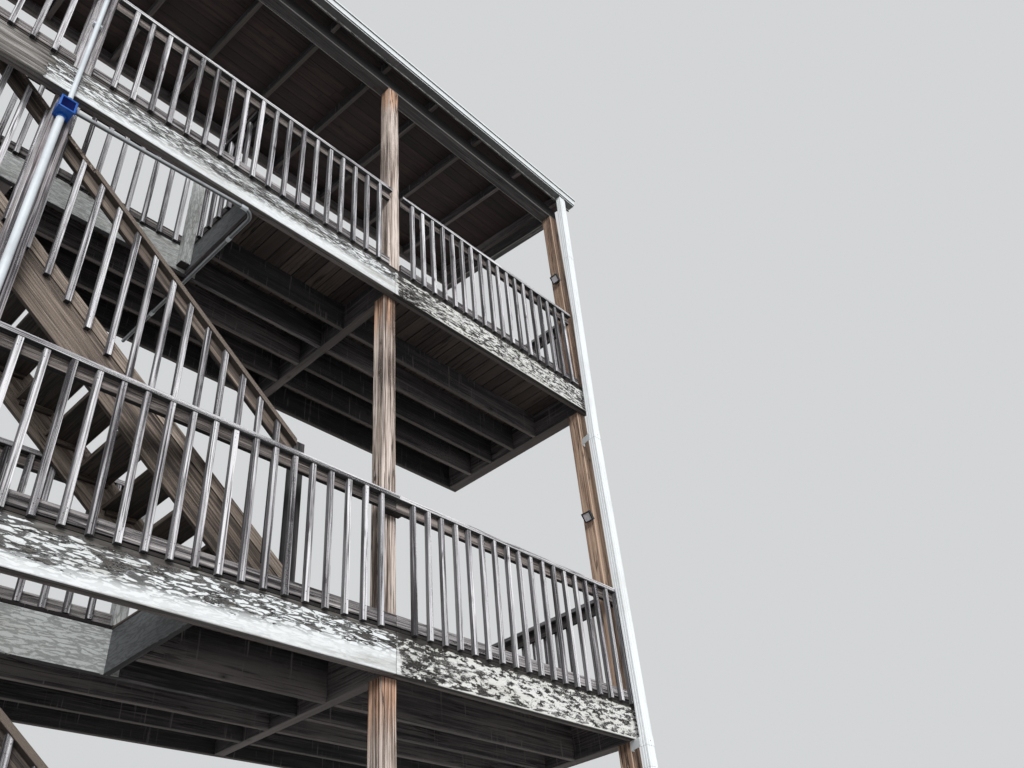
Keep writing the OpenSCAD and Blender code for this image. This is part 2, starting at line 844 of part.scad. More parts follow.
// Flood light on the inner side of the right end post: a foot, an arm and the lamp housing
module flood_light(y, z) {
    translate([post_x[3] - post_w / 2, y, z]) {
        board([-light_arm, -light_foot / 2, -light_foot / 2], [0, light_foot / 2, light_foot / 2]);
        board([-light_reach, -light_arm / 2, -light_arm / 2], [0, light_arm / 2, light_arm / 2]);
        translate([-light_reach, 0, 0]) rotate([0, -light_tilt, 0])
            board([-light_d, -light_w / 2, -light_w / 2], [0, light_w / 2, light_w / 2]);
    }
}

module flood_lights() {
    color("#26282b") {
        flood_light(-post_w / 2 + light_back, floor_z(1) + lower_light_z);
        flood_light(upper_post_y + light_back, floor_z(2) + upper_light_z);
    }
}

end_post_left();
post_left();
post_right();
end_post_right();
lower_rim();
upper_rim();
rim_plies();
cross_girders();
lower_joists();
upper_joists();
wall_ledgers();
lower_trimmers();
upper_trimmers();
lower_deck();
upper_deck();
lower_guard_left();
lower_guard_middle();
lower_guard_right();
upper_guard_left();
upper_guard_middle();
upper_guard_right();
lower_end_guard_left();
lower_end_guard_right();
upper_end_guard_left();
upper_end_guard_right();
lower_well_guard();
upper_well_guard();
well_end_guard();
newels();
lower_stringers();
upper_stringers();
lower_treads();
upper_treads();
lower_stair_guard();
upper_stair_guard();
roof_beams();
rafters();
roof_deck();
fascia();
gutter();
downspout();
conduits();
junction_box();
flood_lights();
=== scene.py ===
"""A timber fire escape stair: weathered boards, peeling paint, rainwater goods and lamps"""

import json
import math
import random

import bmesh
import bpy
import numpy as np
from bpy.props import FloatProperty, FloatVectorProperty, IntProperty, PointerProperty
from bpy.types import Operator, Panel, PropertyGroup
from mathutils import Euler, Matrix, Vector


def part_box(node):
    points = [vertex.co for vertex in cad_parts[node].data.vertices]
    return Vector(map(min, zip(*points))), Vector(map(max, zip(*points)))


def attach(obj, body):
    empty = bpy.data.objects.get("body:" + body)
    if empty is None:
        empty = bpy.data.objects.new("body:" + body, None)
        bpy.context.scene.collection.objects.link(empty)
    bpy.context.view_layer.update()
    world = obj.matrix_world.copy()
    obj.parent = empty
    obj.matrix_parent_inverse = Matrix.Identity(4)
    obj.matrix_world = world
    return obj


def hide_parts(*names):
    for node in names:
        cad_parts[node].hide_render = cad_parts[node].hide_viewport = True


bl_info = {
    "name": "Fire Escape Stair",
    "version": (1, 0, 0),
    "blender": (4, 5, 0),
    "location": "View3D > Sidebar > Stair",
    "description": "Builds the finished look of a timber fire escape stair on its packed frame",
    "category": "Add Mesh",
}

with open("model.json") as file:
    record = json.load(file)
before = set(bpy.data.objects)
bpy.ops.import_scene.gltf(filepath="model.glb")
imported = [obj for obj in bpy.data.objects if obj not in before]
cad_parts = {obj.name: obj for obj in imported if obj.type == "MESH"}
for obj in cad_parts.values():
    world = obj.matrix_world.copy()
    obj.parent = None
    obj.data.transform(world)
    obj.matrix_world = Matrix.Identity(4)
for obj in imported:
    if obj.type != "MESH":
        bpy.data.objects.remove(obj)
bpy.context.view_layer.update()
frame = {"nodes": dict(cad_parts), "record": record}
NODES = frame["nodes"]
SLOT_OF = {part["node"]: part["material_slot"] for part in frame["record"]["subparts"]}

X, Y, Z = Vector((1, 0, 0)), Vector((0, 1, 0)), Vector((0, 0, 1))
DOWN, LEFT, FRONT = (0, 0, -1), (-1, 0, 0), (0, -1, 0)


# Settings

def colour(code):
    """Linear colour of a six-digit sRGB code"""
    parts = [int(code[i:i + 2], 16) / 255 for i in (0, 2, 4)]
    return (*[p / 12.92 if p <= 0.04045 else ((p + 0.055) / 1.055) ** 2.4 for p in parts], 1)


def length(name, description, default, low=0.0, high=10.0):
    """A setting in metres"""
    return FloatProperty(
        name=name, description=description, default=default, min=low, max=high, unit="LENGTH")


def number(name, description, default, low=1, high=100):
    """A setting that counts pieces"""
    return IntProperty(name=name, description=description, default=default, min=low, max=high)


def tint(name, description, code):
    """A setting for a colour"""
    return FloatVectorProperty(
        name=name, description=description, default=colour(code)[:3], min=0, max=1, subtype="COLOR")


class StairTimber(PropertyGroup):
    """Sizes of the boards and of their wear"""
    board_width: length("Board width", "Width of a deck board", 0.140, 0.08, 0.2)
    board_gap: length("Board gap", "Gap between deck boards", 0.004, 0.0, 0.015)
    roof_board: length("Roof board", "Width of a roof board", 0.138, 0.08, 0.2)
    roof_board_thickness: length("Roof board thickness", "Thickness of a roof board", 0.016, 0.01, 0.03)
    roof_thickness: length("Roof thickness", "Upright thickness of boards and roofing", 0.022, 0.015, 0.05)
    roofing_lap: length("Roofing lap", "Overlap of two strips of the rolled roofing", 0.08, 0.03, 0.2)
    roofing_strips: number("Roofing strips", "Strips of rolled roofing on the slope", 3)
    edge_wear: length("Edge wear", "Rounding of a worn timber edge", 0.004, 0.0005, 0.01)
    post_wear: length("Post wear", "Rounding of a post's worn arris", 0.006, 0.0005, 0.02)
    beam_wear: length("Beam wear", "Rounding of a roof beam's arris", 0.008, 0.0005, 0.02)
    baluster: length("Baluster", "Width of a square baluster", 0.038, 0.03, 0.05)
    cap_thickness: length("Cap thickness", "Thickness of a guard's cap", 0.038, 0.02, 0.06)
    cap_width: length("Cap width", "Width of a guard's cap", 0.140, 0.08, 0.2)
    cap_lip: length("Cap lip", "Overhang of the cap in front of the balusters", 0.007, 0.0, 0.02)
    cap_notch: length("Cap notch", "Depth of the notch in the stair's cap at a post", 0.015, 0.0, 0.03)
    cap_notch_end: length("Cap notch end", "Length of the notch beyond the post", 0.28, 0.0, 1.0)
    rail_height: length("Rail height", "Height of the rails that carry the balusters", 0.089, 0.05, 0.12)
    rail_thickness: length("Rail thickness", "Thickness of the rails", 0.038, 0.02, 0.06)
    rail_gap: length("Rail gap", "Gap under the bottom rail", 0.008, 0.0, 0.05)
    foot_drop: length("Baluster foot", "Length of a baluster under the walking surface", 0.034, 0.0, 0.1)
    guard_height: length("Guard height", "Height of a guard over the walking surface", 1.069, 0.9, 1.2)
    stair_guard_height: length("Stair guard", "Height of its guard over the nosings", 1.178, 0.9, 1.3)
    stair_rail_rise: length("Stair rail rise", "Height of the lower rail over the nosings", 0.028, 0.0, 0.1)
    stair_foot_drop: length("Stair foot", "Length of a stair baluster under the nosings", 0.016, 0.0, 0.06)
    cleat_width: length("Cleat width", "Width of the strips that carry a tread", 0.032, 0.02, 0.06)
    cleat_height: length("Cleat height", "Height of the strips that carry a tread", 0.038, 0.02, 0.06)
    bay_balusters: number("Bay balusters", "Balusters in one bay of the front guard", 18)
    stair_balusters: number("Stair balusters", "Balusters in the guard of one flight", 24)
    baluster_pitch: length(
        "Baluster pitch", "Distance between balusters of the side guards", 0.154, 0.1, 0.2)
    newel: length("Newel", "Width of a square newel", 0.090, 0.07, 0.12)
    nail: length("Nail head", "Width of a nail's head", 0.009, 0.003, 0.015)


class StairMetal(PropertyGroup):
    """Sizes of the rainwater goods, the conduits and the lamps"""
    gutter_foot: length("Gutter foot", "Width of the gutter's bottom", 0.085, 0.05, 0.12)
    gutter_top: length("Gutter top", "Width of the gutter at its lip", 0.127, 0.08, 0.15)
    gutter_height: length("Gutter height", "Height of the gutter", 0.100, 0.06, 0.13)
    sheet: length("Sheet", "Thickness of the folded sheet", 0.0014, 0.0005, 0.003)
    gutter_piece: length("Gutter piece", "Length of one piece of gutter", 3.05, 1.0, 6.0)
    hanger_pitch: length("Hanger pitch", "Distance between the gutter's hangers", 0.77, 0.3, 1.2)
    spout_width: length("Downspout width", "Width of the downspout along the gallery", 0.105, 0.06, 0.12)
    spout_depth: length("Downspout depth", "Depth of the downspout from front to back", 0.072, 0.05, 0.1)
    spout_wall: length("Downspout wall", "Thickness of the downspout's sheet", 0.0016, 0.0005, 0.003)
    spout_neck: length("Downspout neck", "Length of the narrow outlet under the gutter", 0.035, 0.01, 0.1)
    lean_drop: length("Lean drop", "Distance from the upper rim down to the lean", 0.38, 0.0, 1.0)
    lower_joint: length("Lower joint", "Height of the joint in the plumb length", 3.05)
    upper_joint: length("Upper joint", "Height of the joint in the leaning length", 9.2)
    lowest_strap: length("Lowest strap", "Height of the lowest strap", 1.8)
    sleeve_height: length("Sleeve height", "Height of a joint sleeve of the downspout", 0.06, 0.02, 0.1)
    strap_height: length("Strap height", "Height of a strap round the downspout", 0.080, 0.02, 0.12)
    strap_foot: length("Strap foot", "Length of a strap's foot on the post", 0.045, 0.02, 0.08)
    riser: length("Riser", "Diameter of the riser under the box", 0.056, 0.03, 0.08)
    conduit: length("Conduit", "Diameter of the conduit over the box", 0.037, 0.02, 0.06)
    branch: length("Branch", "Diameter of the branch conduit", 0.034, 0.02, 0.06)
    branch_bend: length("Branch bend", "Bend radius of the branch conduit", 0.100, 0.06, 0.2)
    lid_screw: length("Lid screw", "Width of a small screw's head", 0.007, 0.003, 0.015)
    clamp_screw: length("Clamp screw", "Width of a clamp screw's head", 0.008, 0.003, 0.015)
    strap_screw: length("Strap screw", "Width of a strap screw's head", 0.009, 0.003, 0.015)
    lamp_width: length("Lamp width", "Width of a flood light's face", 0.105, 0.06, 0.15)
    lamp_depth: length("Lamp depth", "Depth of a flood light's housing", 0.038, 0.02, 0.06)
    lamp_reach: length("Lamp reach", "Distance from the post to a lamp's knuckle", 0.048, 0.02, 0.1)
    lamp_tilt: FloatProperty(
        name="Lamp tilt", description="Angle by which a flood light faces down", subtype="ANGLE",
        default=math.radians(35), min=0, max=1.5)


class StairColours(PropertyGroup):
    """Colours of the timbers, paints and metals"""
    grey_post_dark: tint("Grey post, dark", "Grooves of the grey posts", "373438")
    grey_post_middle: tint("Grey post, middle", "Body of the grey posts", "999498")
    grey_post_light: tint("Grey post, light", "Raised grain of the grey posts", "dddadc")
    tan_post_dark: tint("Tan post, dark", "Dark grain of the newer posts", "4f4139")
    tan_post_middle: tint("Tan post, middle", "Body of the newer posts", "a29389")
    tan_post_light: tint("Tan post, light", "Pale grain of the newer posts", "e3d5cc")
    brown_post_dark: tint("Brown post, dark", "Dark grain of the right end post", "493930")
    brown_post_middle: tint("Brown post, middle", "Body of the right end post", "977c69")
    brown_post_light: tint("Brown post, light", "Pale grain of the right end post", "bfa48f")
    guard_dark: tint("Guard, dark", "Dark streaks of the guards", "2c292d")
    guard_middle: tint("Guard, middle", "Body of the guards", "a9a7ab")
    guard_light: tint("Guard, light", "Bleached grain of the guards", "f0eff3")
    stair_dark: tint("Stair, dark", "Dark grain of the flights", "3e3632")
    stair_middle: tint("Stair, middle", "Body of the flights", "7c6f64")
    stair_light: tint("Stair, light", "Pale grain of the flights", "b2a498")
    frame_dark: tint("Frame, dark", "Dark grain of joists and girders", "1c1c1d")
    frame_middle: tint("Frame, middle", "Body of joists and girders", "3f3d3f")
    frame_light: tint("Frame, light", "Pale grain of joists and girders", "878081")
    deck_dark: tint("Deck, dark", "Dark grain of the deck boards", "352d2a")
    deck_middle: tint("Deck, middle", "Body of the deck boards", "504642")
    deck_light: tint("Deck, light", "Pale grain of the deck boards", "71655f")
    roof_dark: tint("Roof timber, dark", "Dark grain of beams and rafters", "222121")
    roof_middle: tint("Roof timber, middle", "Body of beams and rafters", "4e4c4c")
    roof_light: tint("Roof timber, light", "Pale grain of beams and rafters", "8a8787")
    boards_dark: tint("Roof boards, dark", "Dark grain of the roof boards", "1d1514")
    boards_middle: tint("Roof boards, middle", "Body of the roof boards", "312422")
    boards_light: tint("Roof boards, light", "Pale grain of the roof boards", "493835")
    membrane: tint("Roof membrane", "Rolled roofing on the boards", "737576")
    rim_wood_dark: tint("Rim wood, dark", "Dark grain of the bare rim boards", "211e1d")
    rim_wood_middle: tint("Rim wood, middle", "Body of the bare rim boards", "6c6864")
    rim_wood_light: tint("Rim wood, light", "Pale grain of the bare rim boards", "aca9a6")
    rim_paint: tint("Rim paint", "Old paint on the rim boards", "f0f4f6")
    trim_paint: tint("Trim paint", "Old paint round the stairwell", "cdd3d3")
    fascia_paint: tint("Fascia paint", "Paint on the fascia", "f2f2ef")
    sheet_white: tint("White sheet", "Gutter and downspout", "f4f9fc")
    conduit_grey: tint("Conduit", "Riser, conduits and clamps", "dae2e8")
    branch_grey: tint("Branch", "Branch conduit under the rim", "afb3b7")
    box_blue: tint("Box", "Junction box", "165cb7")
    # A darker copy of the box's blue: painted shade on the lid's recessed panel
    box_panel: tint("Box panel", "Recessed panel of the junction box", "030e40")
    lamp_black: tint("Lamp black", "Housings of the flood lights", "191a1d")
    lamp_lens: tint("Lamp lens", "Lenses of the flood lights", "e3e0e6")
    nail_rust: tint("Nail", "Heads of nails and screws", "3e3534")


class StairStage(PropertyGroup):
    """Camera, light and floor"""
    camera_place: FloatVectorProperty(
        name="Camera place", description="Where the camera stands", subtype="XYZ",
        default=(-0.924, -4.685, 1.035), unit="LENGTH")
    camera_turn: FloatVectorProperty(
        name="Camera turn", description="Camera rotation in degrees about X, Y and Z",
        default=(128.0385, 4.7684, -47.0368))
    lens: FloatProperty(
        name="Lens", description="Focal length on a 36 mm wide frame, in millimetres",
        default=31.236, min=10, max=200)
    key_light: FloatProperty(
        name="Key light", description="Strength of the soft light from the front",
        default=2.85, min=0, max=20)
    key_toward: FloatVectorProperty(
        name="Key direction", description="Direction in which the front light shines", subtype="XYZ",
        default=(8.4, 15.0, -9.0))
    key_spread: FloatProperty(
        name="Key spread", description="Angle over which the front light is spread", subtype="ANGLE",
        default=math.radians(26), min=0, max=math.pi)
    fill_light: FloatProperty(
        name="Fill light", description="Strength of the soft light from behind",
        default=0.7, min=0, max=20)
    fill_toward: FloatVectorProperty(
        name="Fill direction", description="Direction in which the back light shines", subtype="XYZ",
        default=(-6.0, -12.0, -7.0))
    fill_spread: FloatProperty(
        name="Fill spread", description="Angle over which the back light is spread", subtype="ANGLE",
        default=math.radians(60), min=0, max=math.pi)
    sky: FloatProperty(
        name="Sky", description="Strength of the even light from all round",
        default=0.49, min=0, max=2)
    floor_centre: FloatVectorProperty(
        name="Floor centre", description="Middle of the floor", subtype="XYZ",
        default=(1.4, 1.0, 0.0), unit="LENGTH")
    floor_size: length("Floor size", "Side of the square floor", 240, 20, 500)
    backdrop: tint("Backdrop", "Colour of the backdrop and the floor", "d3d5d6")
    bounce: tint("Floor bounce", "Colour with which the floor lights the stair", "a2a19f")


# Shader expressions

class Socket:
    """A shader socket that Python expressions can use; each operator adds the node it needs"""

    def __init__(self, finish, socket):
        self.finish = finish
        self.socket = socket

    def _join(self, operation, first, second):
        """A Math node for numbers and a Vector Math node for colours and vectors"""
        def is_vector(value):
            return value.socket.type != "VALUE" if isinstance(value, Socket) else not np.isscalar(value)

        if not is_vector(first) and not is_vector(second):
            return self.finish.node("ShaderNodeMath", {"operation": operation}, {0: first, 1: second})
        if operation == "MULTIPLY" and is_vector(first) != is_vector(second):
            vector, factor = (first, second) if is_vector(first) else (second, first)
            return self.finish.node("ShaderNodeVectorMath", {"operation": "SCALE"}, {0: vector, 3: factor})
        return self.finish.node("ShaderNodeVectorMath", {"operation": operation}, {0: first, 1: second})

    def __add__(self, other):
        return self._join("ADD", self, other)

    def __radd__(self, other):
        return self._join("ADD", other, self)

    def __sub__(self, other):
        return self._join("SUBTRACT", self, other)

    def __rsub__(self, other):
        return self._join("SUBTRACT", other, self)

    def __mul__(self, other):
        return self._join("MULTIPLY", self, other)

    def __rmul__(self, other):
        return self._join("MULTIPLY", self, other)

    def __abs__(self):
        return self.finish.node("ShaderNodeMath", {"operation": "ABSOLUTE"}, {0: self})

    def dot(self, other):
        return self.finish.node(
            "ShaderNodeVectorMath", {"operation": "DOT_PRODUCT"}, {0: self, 1: other}, "Value")

    def step(self, low, high):
        """0 below low, 1 above high and smooth between; low may be above high"""
        if low > high:
            return 1 - self.step(high, low)
        return self.finish.node(
            "ShaderNodeMapRange", {"interpolation_type": "SMOOTHSTEP"},
            {"Value": self, "From Min": low, "From Max": high})

    def axis(self, name):
        return self.finish.node("ShaderNodeSeparateXYZ", {}, {0: self}, name)


class Tree:
    """The emptied node tree of a material or a world"""

    def __init__(self, owner):
        owner.use_nodes = True
        self.tree = owner.node_tree
        self.tree.nodes.clear()

    def node(self, kind, settings, sockets, output=0):
        """A node of that kind with its settings and its sockets' values or links"""
        made = self.tree.nodes.new(kind)
        for key, value in settings.items():
            setattr(made, key, value)
        for key, value in sockets.items():
            if isinstance(value, Socket):
                self.tree.links.new(value.socket, made.inputs[key])
            else:
                made.inputs[key].default_value = value
        return Socket(self, made.outputs[output]) if made.outputs else None

    def seen(self):
        """1 for a ray from the camera, off metal or through glass, and 0 for light that falls on things"""
        rays = [self.node("ShaderNodeLightPath", {}, {}, f"Is {kind} Ray")
                for kind in ("Camera", "Glossy", "Transmission")]
        return (rays[0] + rays[1] + rays[2]).step(0.0, 1.0)


class Finish(Tree):
    """A material with a Principled shader, built node by node"""

    def __init__(self, name, roughness=0.8, metallic=0.0):
        self.material = bpy.data.materials.new(name)
        super().__init__(self.material)
        self.shader = self.tree.nodes.new("ShaderNodeBsdfPrincipled")
        self.shader.inputs["Roughness"].default_value = roughness
        self.shader.inputs["Metallic"].default_value = metallic
        self.node("ShaderNodeOutputMaterial", {}, {"Surface": Socket(self, self.shader.outputs[0])})

    def place(self):
        return self.node("ShaderNodeTexCoord", {}, {}, "Object")

    def normal(self):
        return self.node("ShaderNodeNewGeometry", {}, {}, "Normal")

    def attribute(self, name, output="Fac"):
        return self.node("ShaderNodeAttribute", {"attribute_name": name}, {}, output)

    def noise(self, vector, scale=1.0, detail=2.0, rough=0.5, output="Fac"):
        return self.node(
            "ShaderNodeTexNoise", {},
            {"Vector": vector, "Scale": scale, "Detail": detail, "Roughness": rough}, output)

    def cells(self, vector, scale=1.0, output="Distance", feature="F1"):
        return self.node(
            "ShaderNodeTexVoronoi", {"feature": feature}, {"Vector": vector, "Scale": scale}, output)

    def random(self, value, output="Color"):
        return self.node("ShaderNodeTexWhiteNoise", {"noise_dimensions": "1D"}, {"W": value}, output)

    def mix(self, share, first, second):
        """The first colour, and the second one where the share is 1"""
        return self.node(
            "ShaderNodeMix", {"data_type": "RGBA"}, {0: share, 6: first, 7: second}, 2)

    def put(self, name, value):
        """Links a value to the shader's own socket"""
        self.tree.links.new(value.socket, self.shader.inputs[name])

    def relief(self, height, depth):
        """Bumps the surface by a height of 0 to 1 and a depth in metres"""
        self.put("Normal", self.node("ShaderNodeBump", {}, {"Height": height, "Distance": depth}))


class Grain:
    """Coordinates of one board: its grain's direction and a shift of its own"""

    def __init__(self, finish):
        self.place = finish.place()
        self.normal = finish.normal()
        self.direction = finish.attribute("grain", "Vector")
        self.tone = finish.attribute("tone")
        self.rise = finish.attribute("rise")
        self.along = self.place.dot(self.direction)
        self.shift = finish.random(self.tone * 97.0) * 19.0
        self.chance = finish.random(self.tone * 53.0, "Value")
        self.end = abs(self.normal.dot(self.direction)).step(0.6, 0.85)
        squares = self.normal * self.normal
        self.arris = squares.dot(squares).step(0.86, 0.7)

    def looking(self, direction):
        """1 on faces that look in a direction"""
        return self.normal.dot(direction).step(0.55, 0.9)

    def stretched(self, along, across):
        """The place with another scale along the grain than across it"""
        return self.place * across + self.direction * (self.along * (along - across)) + self.shift


# Finishes

def tinted(name):
    """A colour of the settings as a shader colour"""
    return (*getattr(bpy.context.scene.stair_colours, name), 1)


def shades(name):
    """The dark, middle and light tone of a timber"""
    return [tinted(f"{name}_{part}") for part in ("dark", "middle", "light")]


# Colours of details, some of them painted shadow and painted shade, and the share of its colour that a rail
# keeps under painted shade
OPEN_SPLIT, END_GRAIN, SOOT = "1a1614", "120e0d", "1c1815"
WORN_PAINT, SPECKED_PAINT, SHADED_GREY_PAINT = "b4b4af", "e4e2dc", "565b60"
FLAKE_SHADOW, PAINTED_END, UNDERSIDE_SHADE = "0c0a09", "2a2420", "2a2a2b"
ROOFING_CHIPS, ROOFING_STAIN = "8e8f8e", "43423f"
SHADED_RAIL = (0.42, 0.37, 0.33)


def bare_timber(name, tones, knot, stain, knots=0.5, fibres=75, bands=13, stained=0.35, split=26,
                varied=0.2, crisp=1.2, arris=None, worn=0.75, faces=(), sheltered=None, drips=0.0,
                grooves=0.25):
    """Weathered wood: streaks along the grain, splits, knots, stains, dark end grain, pale worn edges with
    a painted highlight, edges dark with painted shade in board gaps, faces that look one way darker or
    lighter (in several finishes painted shade and painted light), and wood that keeps its colour at the
    sheltered head of a post"""
    finish = Finish(name)
    grain = Grain(finish)
    dark, middle, light = shades(tones)
    fibre = finish.noise(grain.stretched(1.6, fibres), detail=3, rough=0.65)
    band = finish.noise(grain.stretched(0.55, bands), detail=3, rough=0.6)
    patch = finish.noise(grain.place + grain.shift, scale=1.3, detail=4, rough=0.6)
    value = (fibre * 0.45 + band * 0.38 + patch * 0.17 - 0.5) * crisp + 0.5
    # A tone over 1, given to the girders, lightens the wood as painted light
    value = value + (grain.chance - 0.5) * varied + grain.tone.step(1.2, 1.6) * 0.16
    shade = finish.mix(value.step(0.38, 0.49), dark, middle)
    shade = finish.mix(value.step(0.49, 0.62), shade, light)
    shade = finish.mix(fibre.step(0.43, 0.36) * grooves, shade, dark)
    if sheltered:
        head = (grain.rise + (band - 0.5) * 0.3).step(0.85, 0.96)
        shade = finish.mix(head * 0.8, shade, shade * sheltered)
    # Stains run with the grain and darken whole stretches of a board
    stain_mask = finish.noise(grain.stretched(0.9, 5), detail=4, rough=0.7).step(0.52, 0.72) * stained
    shade = finish.mix(stain_mask, shade, colour(stain))
    # Knots, with the grain drawn dark round them
    cell = grain.stretched(5.5, 8.5)
    distance = finish.cells(cell)
    chosen = finish.cells(cell, output="Color").axis("X").step(1.0 - 0.3 * knots, 1.01 - 0.3 * knots)
    halo = distance.step(0.34, 0.10) * chosen
    heart = distance.step(0.15, 0.09) * chosen
    shade = finish.mix(halo * 0.45, shade, colour(knot))
    shade = finish.mix(heart * 0.9, shade, colour(knot))
    # Splits: thin dark openings along the grain
    line = abs(finish.noise(grain.stretched(0.8, split), detail=2) - 0.5).step(0.026, 0.008)
    opening = line * finish.noise(grain.stretched(0.7, 4), detail=1).step(0.40, 0.55)
    shade = finish.mix(opening * 0.85, shade, colour(OPEN_SPLIT))
    # Edges in the arris colour: a pale arris is wear together with a painted highlight, a dark arris is
    # painted shade in the gaps between boards
    if arris:
        shade = finish.mix(grain.arris * worn, shade, colour(arris))
    # Painted shade on boards with a tone below zero, such as the rails under the cap
    shade = finish.mix(grain.tone.step(-0.2, -0.6), shade, shade * SHADED_RAIL)
    # Faces that look in a direction take another colour; TIMBERS notes where this is painted shade or
    # painted light
    for direction, share, look in faces:
        shade = finish.mix(grain.looking(direction) * share, shade, colour(look))
    if drips:
        run = finish.noise(grain.place * (42.0, 42.0, 2.2), detail=3, rough=0.6).step(0.60, 0.72)
        shade = finish.mix(run * drips * (1 - abs(grain.normal.axis("Z"))), shade, light)
    shade = finish.mix(grain.end * 0.9, shade, colour(END_GRAIN))
    finish.put("Base Color", shade)
    finish.put("Roughness", fibre * 0.2 + 0.72)
    finish.relief(fibre * 0.5 + band * 0.3 - opening * 1.2 - heart * 0.2, 0.005)
    return finish


def peeling_paint(name, tones, paint, cover):
    """Old paint over bare wood, cracked into long flakes; cover gives the share that is left, where it is
    whole, where it is left in specks, and where the bare wood is dark with soot"""
    finish = Finish(name)
    grain = Grain(finish)
    dark, middle, light = shades(tones)
    fibre = finish.noise(grain.stretched(2.5, 75), detail=3, rough=0.65)
    band = finish.noise(grain.stretched(0.6, 12), detail=3, rough=0.6)
    value = fibre * 0.5 + band * 0.5 + (grain.chance - 0.5) * 0.1
    bare = finish.mix(value.step(0.40, 0.49), dark, middle)
    bare = finish.mix(value.step(0.50, 0.62), bare, light)
    left, whole, specked, sooty = cover(finish, grain)
    bare = finish.mix(sooty * 0.9, bare, colour(SOOT))
    # Flakes are cells drawn out along the grain; each has its own chance to have fallen
    warp = finish.noise(grain.stretched(7, 30), detail=3, output="Color") - (0.5, 0.5, 0.5)
    net = grain.stretched(8, 42) + warp * 1.6
    border = finish.cells(net, feature="DISTANCE_TO_EDGE")
    chance = finish.cells(net, output="Color").axis("X")
    ragged = finish.noise(grain.stretched(14, 70), detail=4, rough=0.7)
    patch = finish.noise(grain.stretched(0.9, 8), detail=4, rough=0.65)
    flaked = chance * 0.22 + ragged * 0.33 + patch * 0.45
    speck = finish.noise(grain.stretched(12, 38), detail=4, rough=0.75) * 0.85 + patch * 0.15
    field = flaked + (speck - flaked) * specked + left
    skin = field.step(0.488, 0.492)
    # A painted shadow along the border of each flake, on the bare wood beside the paint
    edge = field.step(0.450, 0.472) * (1 - skin)
    crack = border.step(0.19, 0.11) * ragged.step(0.42, 0.47) * (1 - whole * 0.85) * (1 - specked)
    worn = finish.noise(grain.stretched(1.1, 9), detail=4, rough=0.65)
    coat = finish.mix(worn.step(0.45, 0.75), tinted(paint), colour(WORN_PAINT))
    coat = finish.mix(specked * 0.6, coat, colour(SPECKED_PAINT))
    # Boards that run from front to back, such as the stairwell's header, get a dark grey coat: grey paint
    # darkened with painted shade for the deep stairwell
    coat = finish.mix(abs(grain.direction.axis("Y")) * 0.9, coat, colour(SHADED_GREY_PAINT))
    coat = finish.mix(crack * 0.9, coat, colour(SOOT))
    shade = finish.mix(edge * 0.95, bare, colour(FLAKE_SHADOW))
    shade = finish.mix(skin, shade, coat)
    shade = finish.mix(grain.end * (1 - skin * 0.5) * 0.7, shade, colour(PAINTED_END))
    finish.put("Base Color", shade)
    finish.put("Roughness", 0.85 - skin * 0.3)
    finish.relief(fibre * 0.25 * (1 - skin) + skin * 0.8 - crack * 0.5 * skin, 0.004)
    return finish


def plain_finish(name, base, rough, dirt, dirty, metallic=0.0, scale=3.0, under=0.0, shine=0.5):
    """Smooth metal or plastic with a film of dirt, runs down its face and, if asked, painted shade on its
    underside
    """
    finish = Finish(name, rough, metallic)
    finish.shader.inputs["Specular IOR Level"].default_value = shine
    place = finish.place()
    film = finish.noise(place, scale=scale, detail=5, rough=0.65)
    runs = finish.noise(place * (22.0, 22.0, 1.2), detail=3, rough=0.6)
    mask = (film * 0.6 + runs * 0.4).step(0.42, 0.72) * dirty
    specks = finish.cells(place, scale=55).step(0.12, 0.05) * film.step(0.5, 0.62) * dirty
    shade = finish.mix(mask, tinted(base), colour(dirt))
    # Painted shade on faces that look down
    if under:
        below = finish.normal().dot(DOWN).step(0.6, 0.95) * under
        shade = finish.mix(below, shade, colour(UNDERSIDE_SHADE))
    finish.put("Base Color", finish.mix(specks, shade, colour(dirt)))
    finish.put("Roughness", mask * 0.3 + rough)
    finish.relief(finish.noise(place, scale=60, detail=2), 0.0005)
    return finish


def rolled_roofing(name):
    """Mineral-surfaced sheet with fine chips and weather stains"""
    finish = Finish(name, 0.95)
    place = finish.place()
    chips = finish.cells(place, scale=260)
    tone = finish.cells(place, scale=260, output="Color").axis("X")
    stain = finish.noise(place * (0.6, 2.0, 2.0), detail=5, rough=0.65).step(0.4, 0.7)
    shade = finish.mix(tone * 0.5, tinted("membrane"), colour(ROOFING_CHIPS))
    shade = finish.mix(stain * 0.5, shade, colour(ROOFING_STAIN))
    finish.put("Base Color", shade)
    finish.relief(chips, 0.001)
    return finish


def rim_cover(finish, grain):
    """Where the rim boards keep their paint: bare left of the second post and behind, whole low down beside
    the stairwell, half fallen right of the third post, and in specks in the right bay"""
    x, z = grain.place.axis("X"), grain.place.axis("Z")
    low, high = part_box("upper_rim")
    storey = low.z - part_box("lower_rim")[0].z
    over = z.step(low.z - 1.0, low.z - 0.9)
    height = (z - low.z + (1 - over) * storey) * (1.0 / (high.z - low.z))
    ragged = (finish.noise(grain.stretched(2.2, 10), detail=5, rough=0.7) - 0.5) * 1.1
    left, beyond = x.step(-0.32, -0.14), x.step(3.04, 3.12)
    middle = left - beyond
    right = x.step(3.35, 3.8)
    front = grain.normal.dot(FRONT).step(0.2, 0.6)
    whole = (height + ragged * 0.3 - x * 0.1).step(0.34, 0.02) * middle
    drip = height.step(0.05, 0.02) * right * 0.12
    top = height.step(0.88, 0.96) * 0.2
    share = whole * 0.18 + middle * 0.055 + right * 0.045 - beyond * 0.045 + drip - top
    share = share - (1 - left) * 0.3 - (1 - front) * 0.5
    return share, whole, beyond, middle * 0.6 + beyond


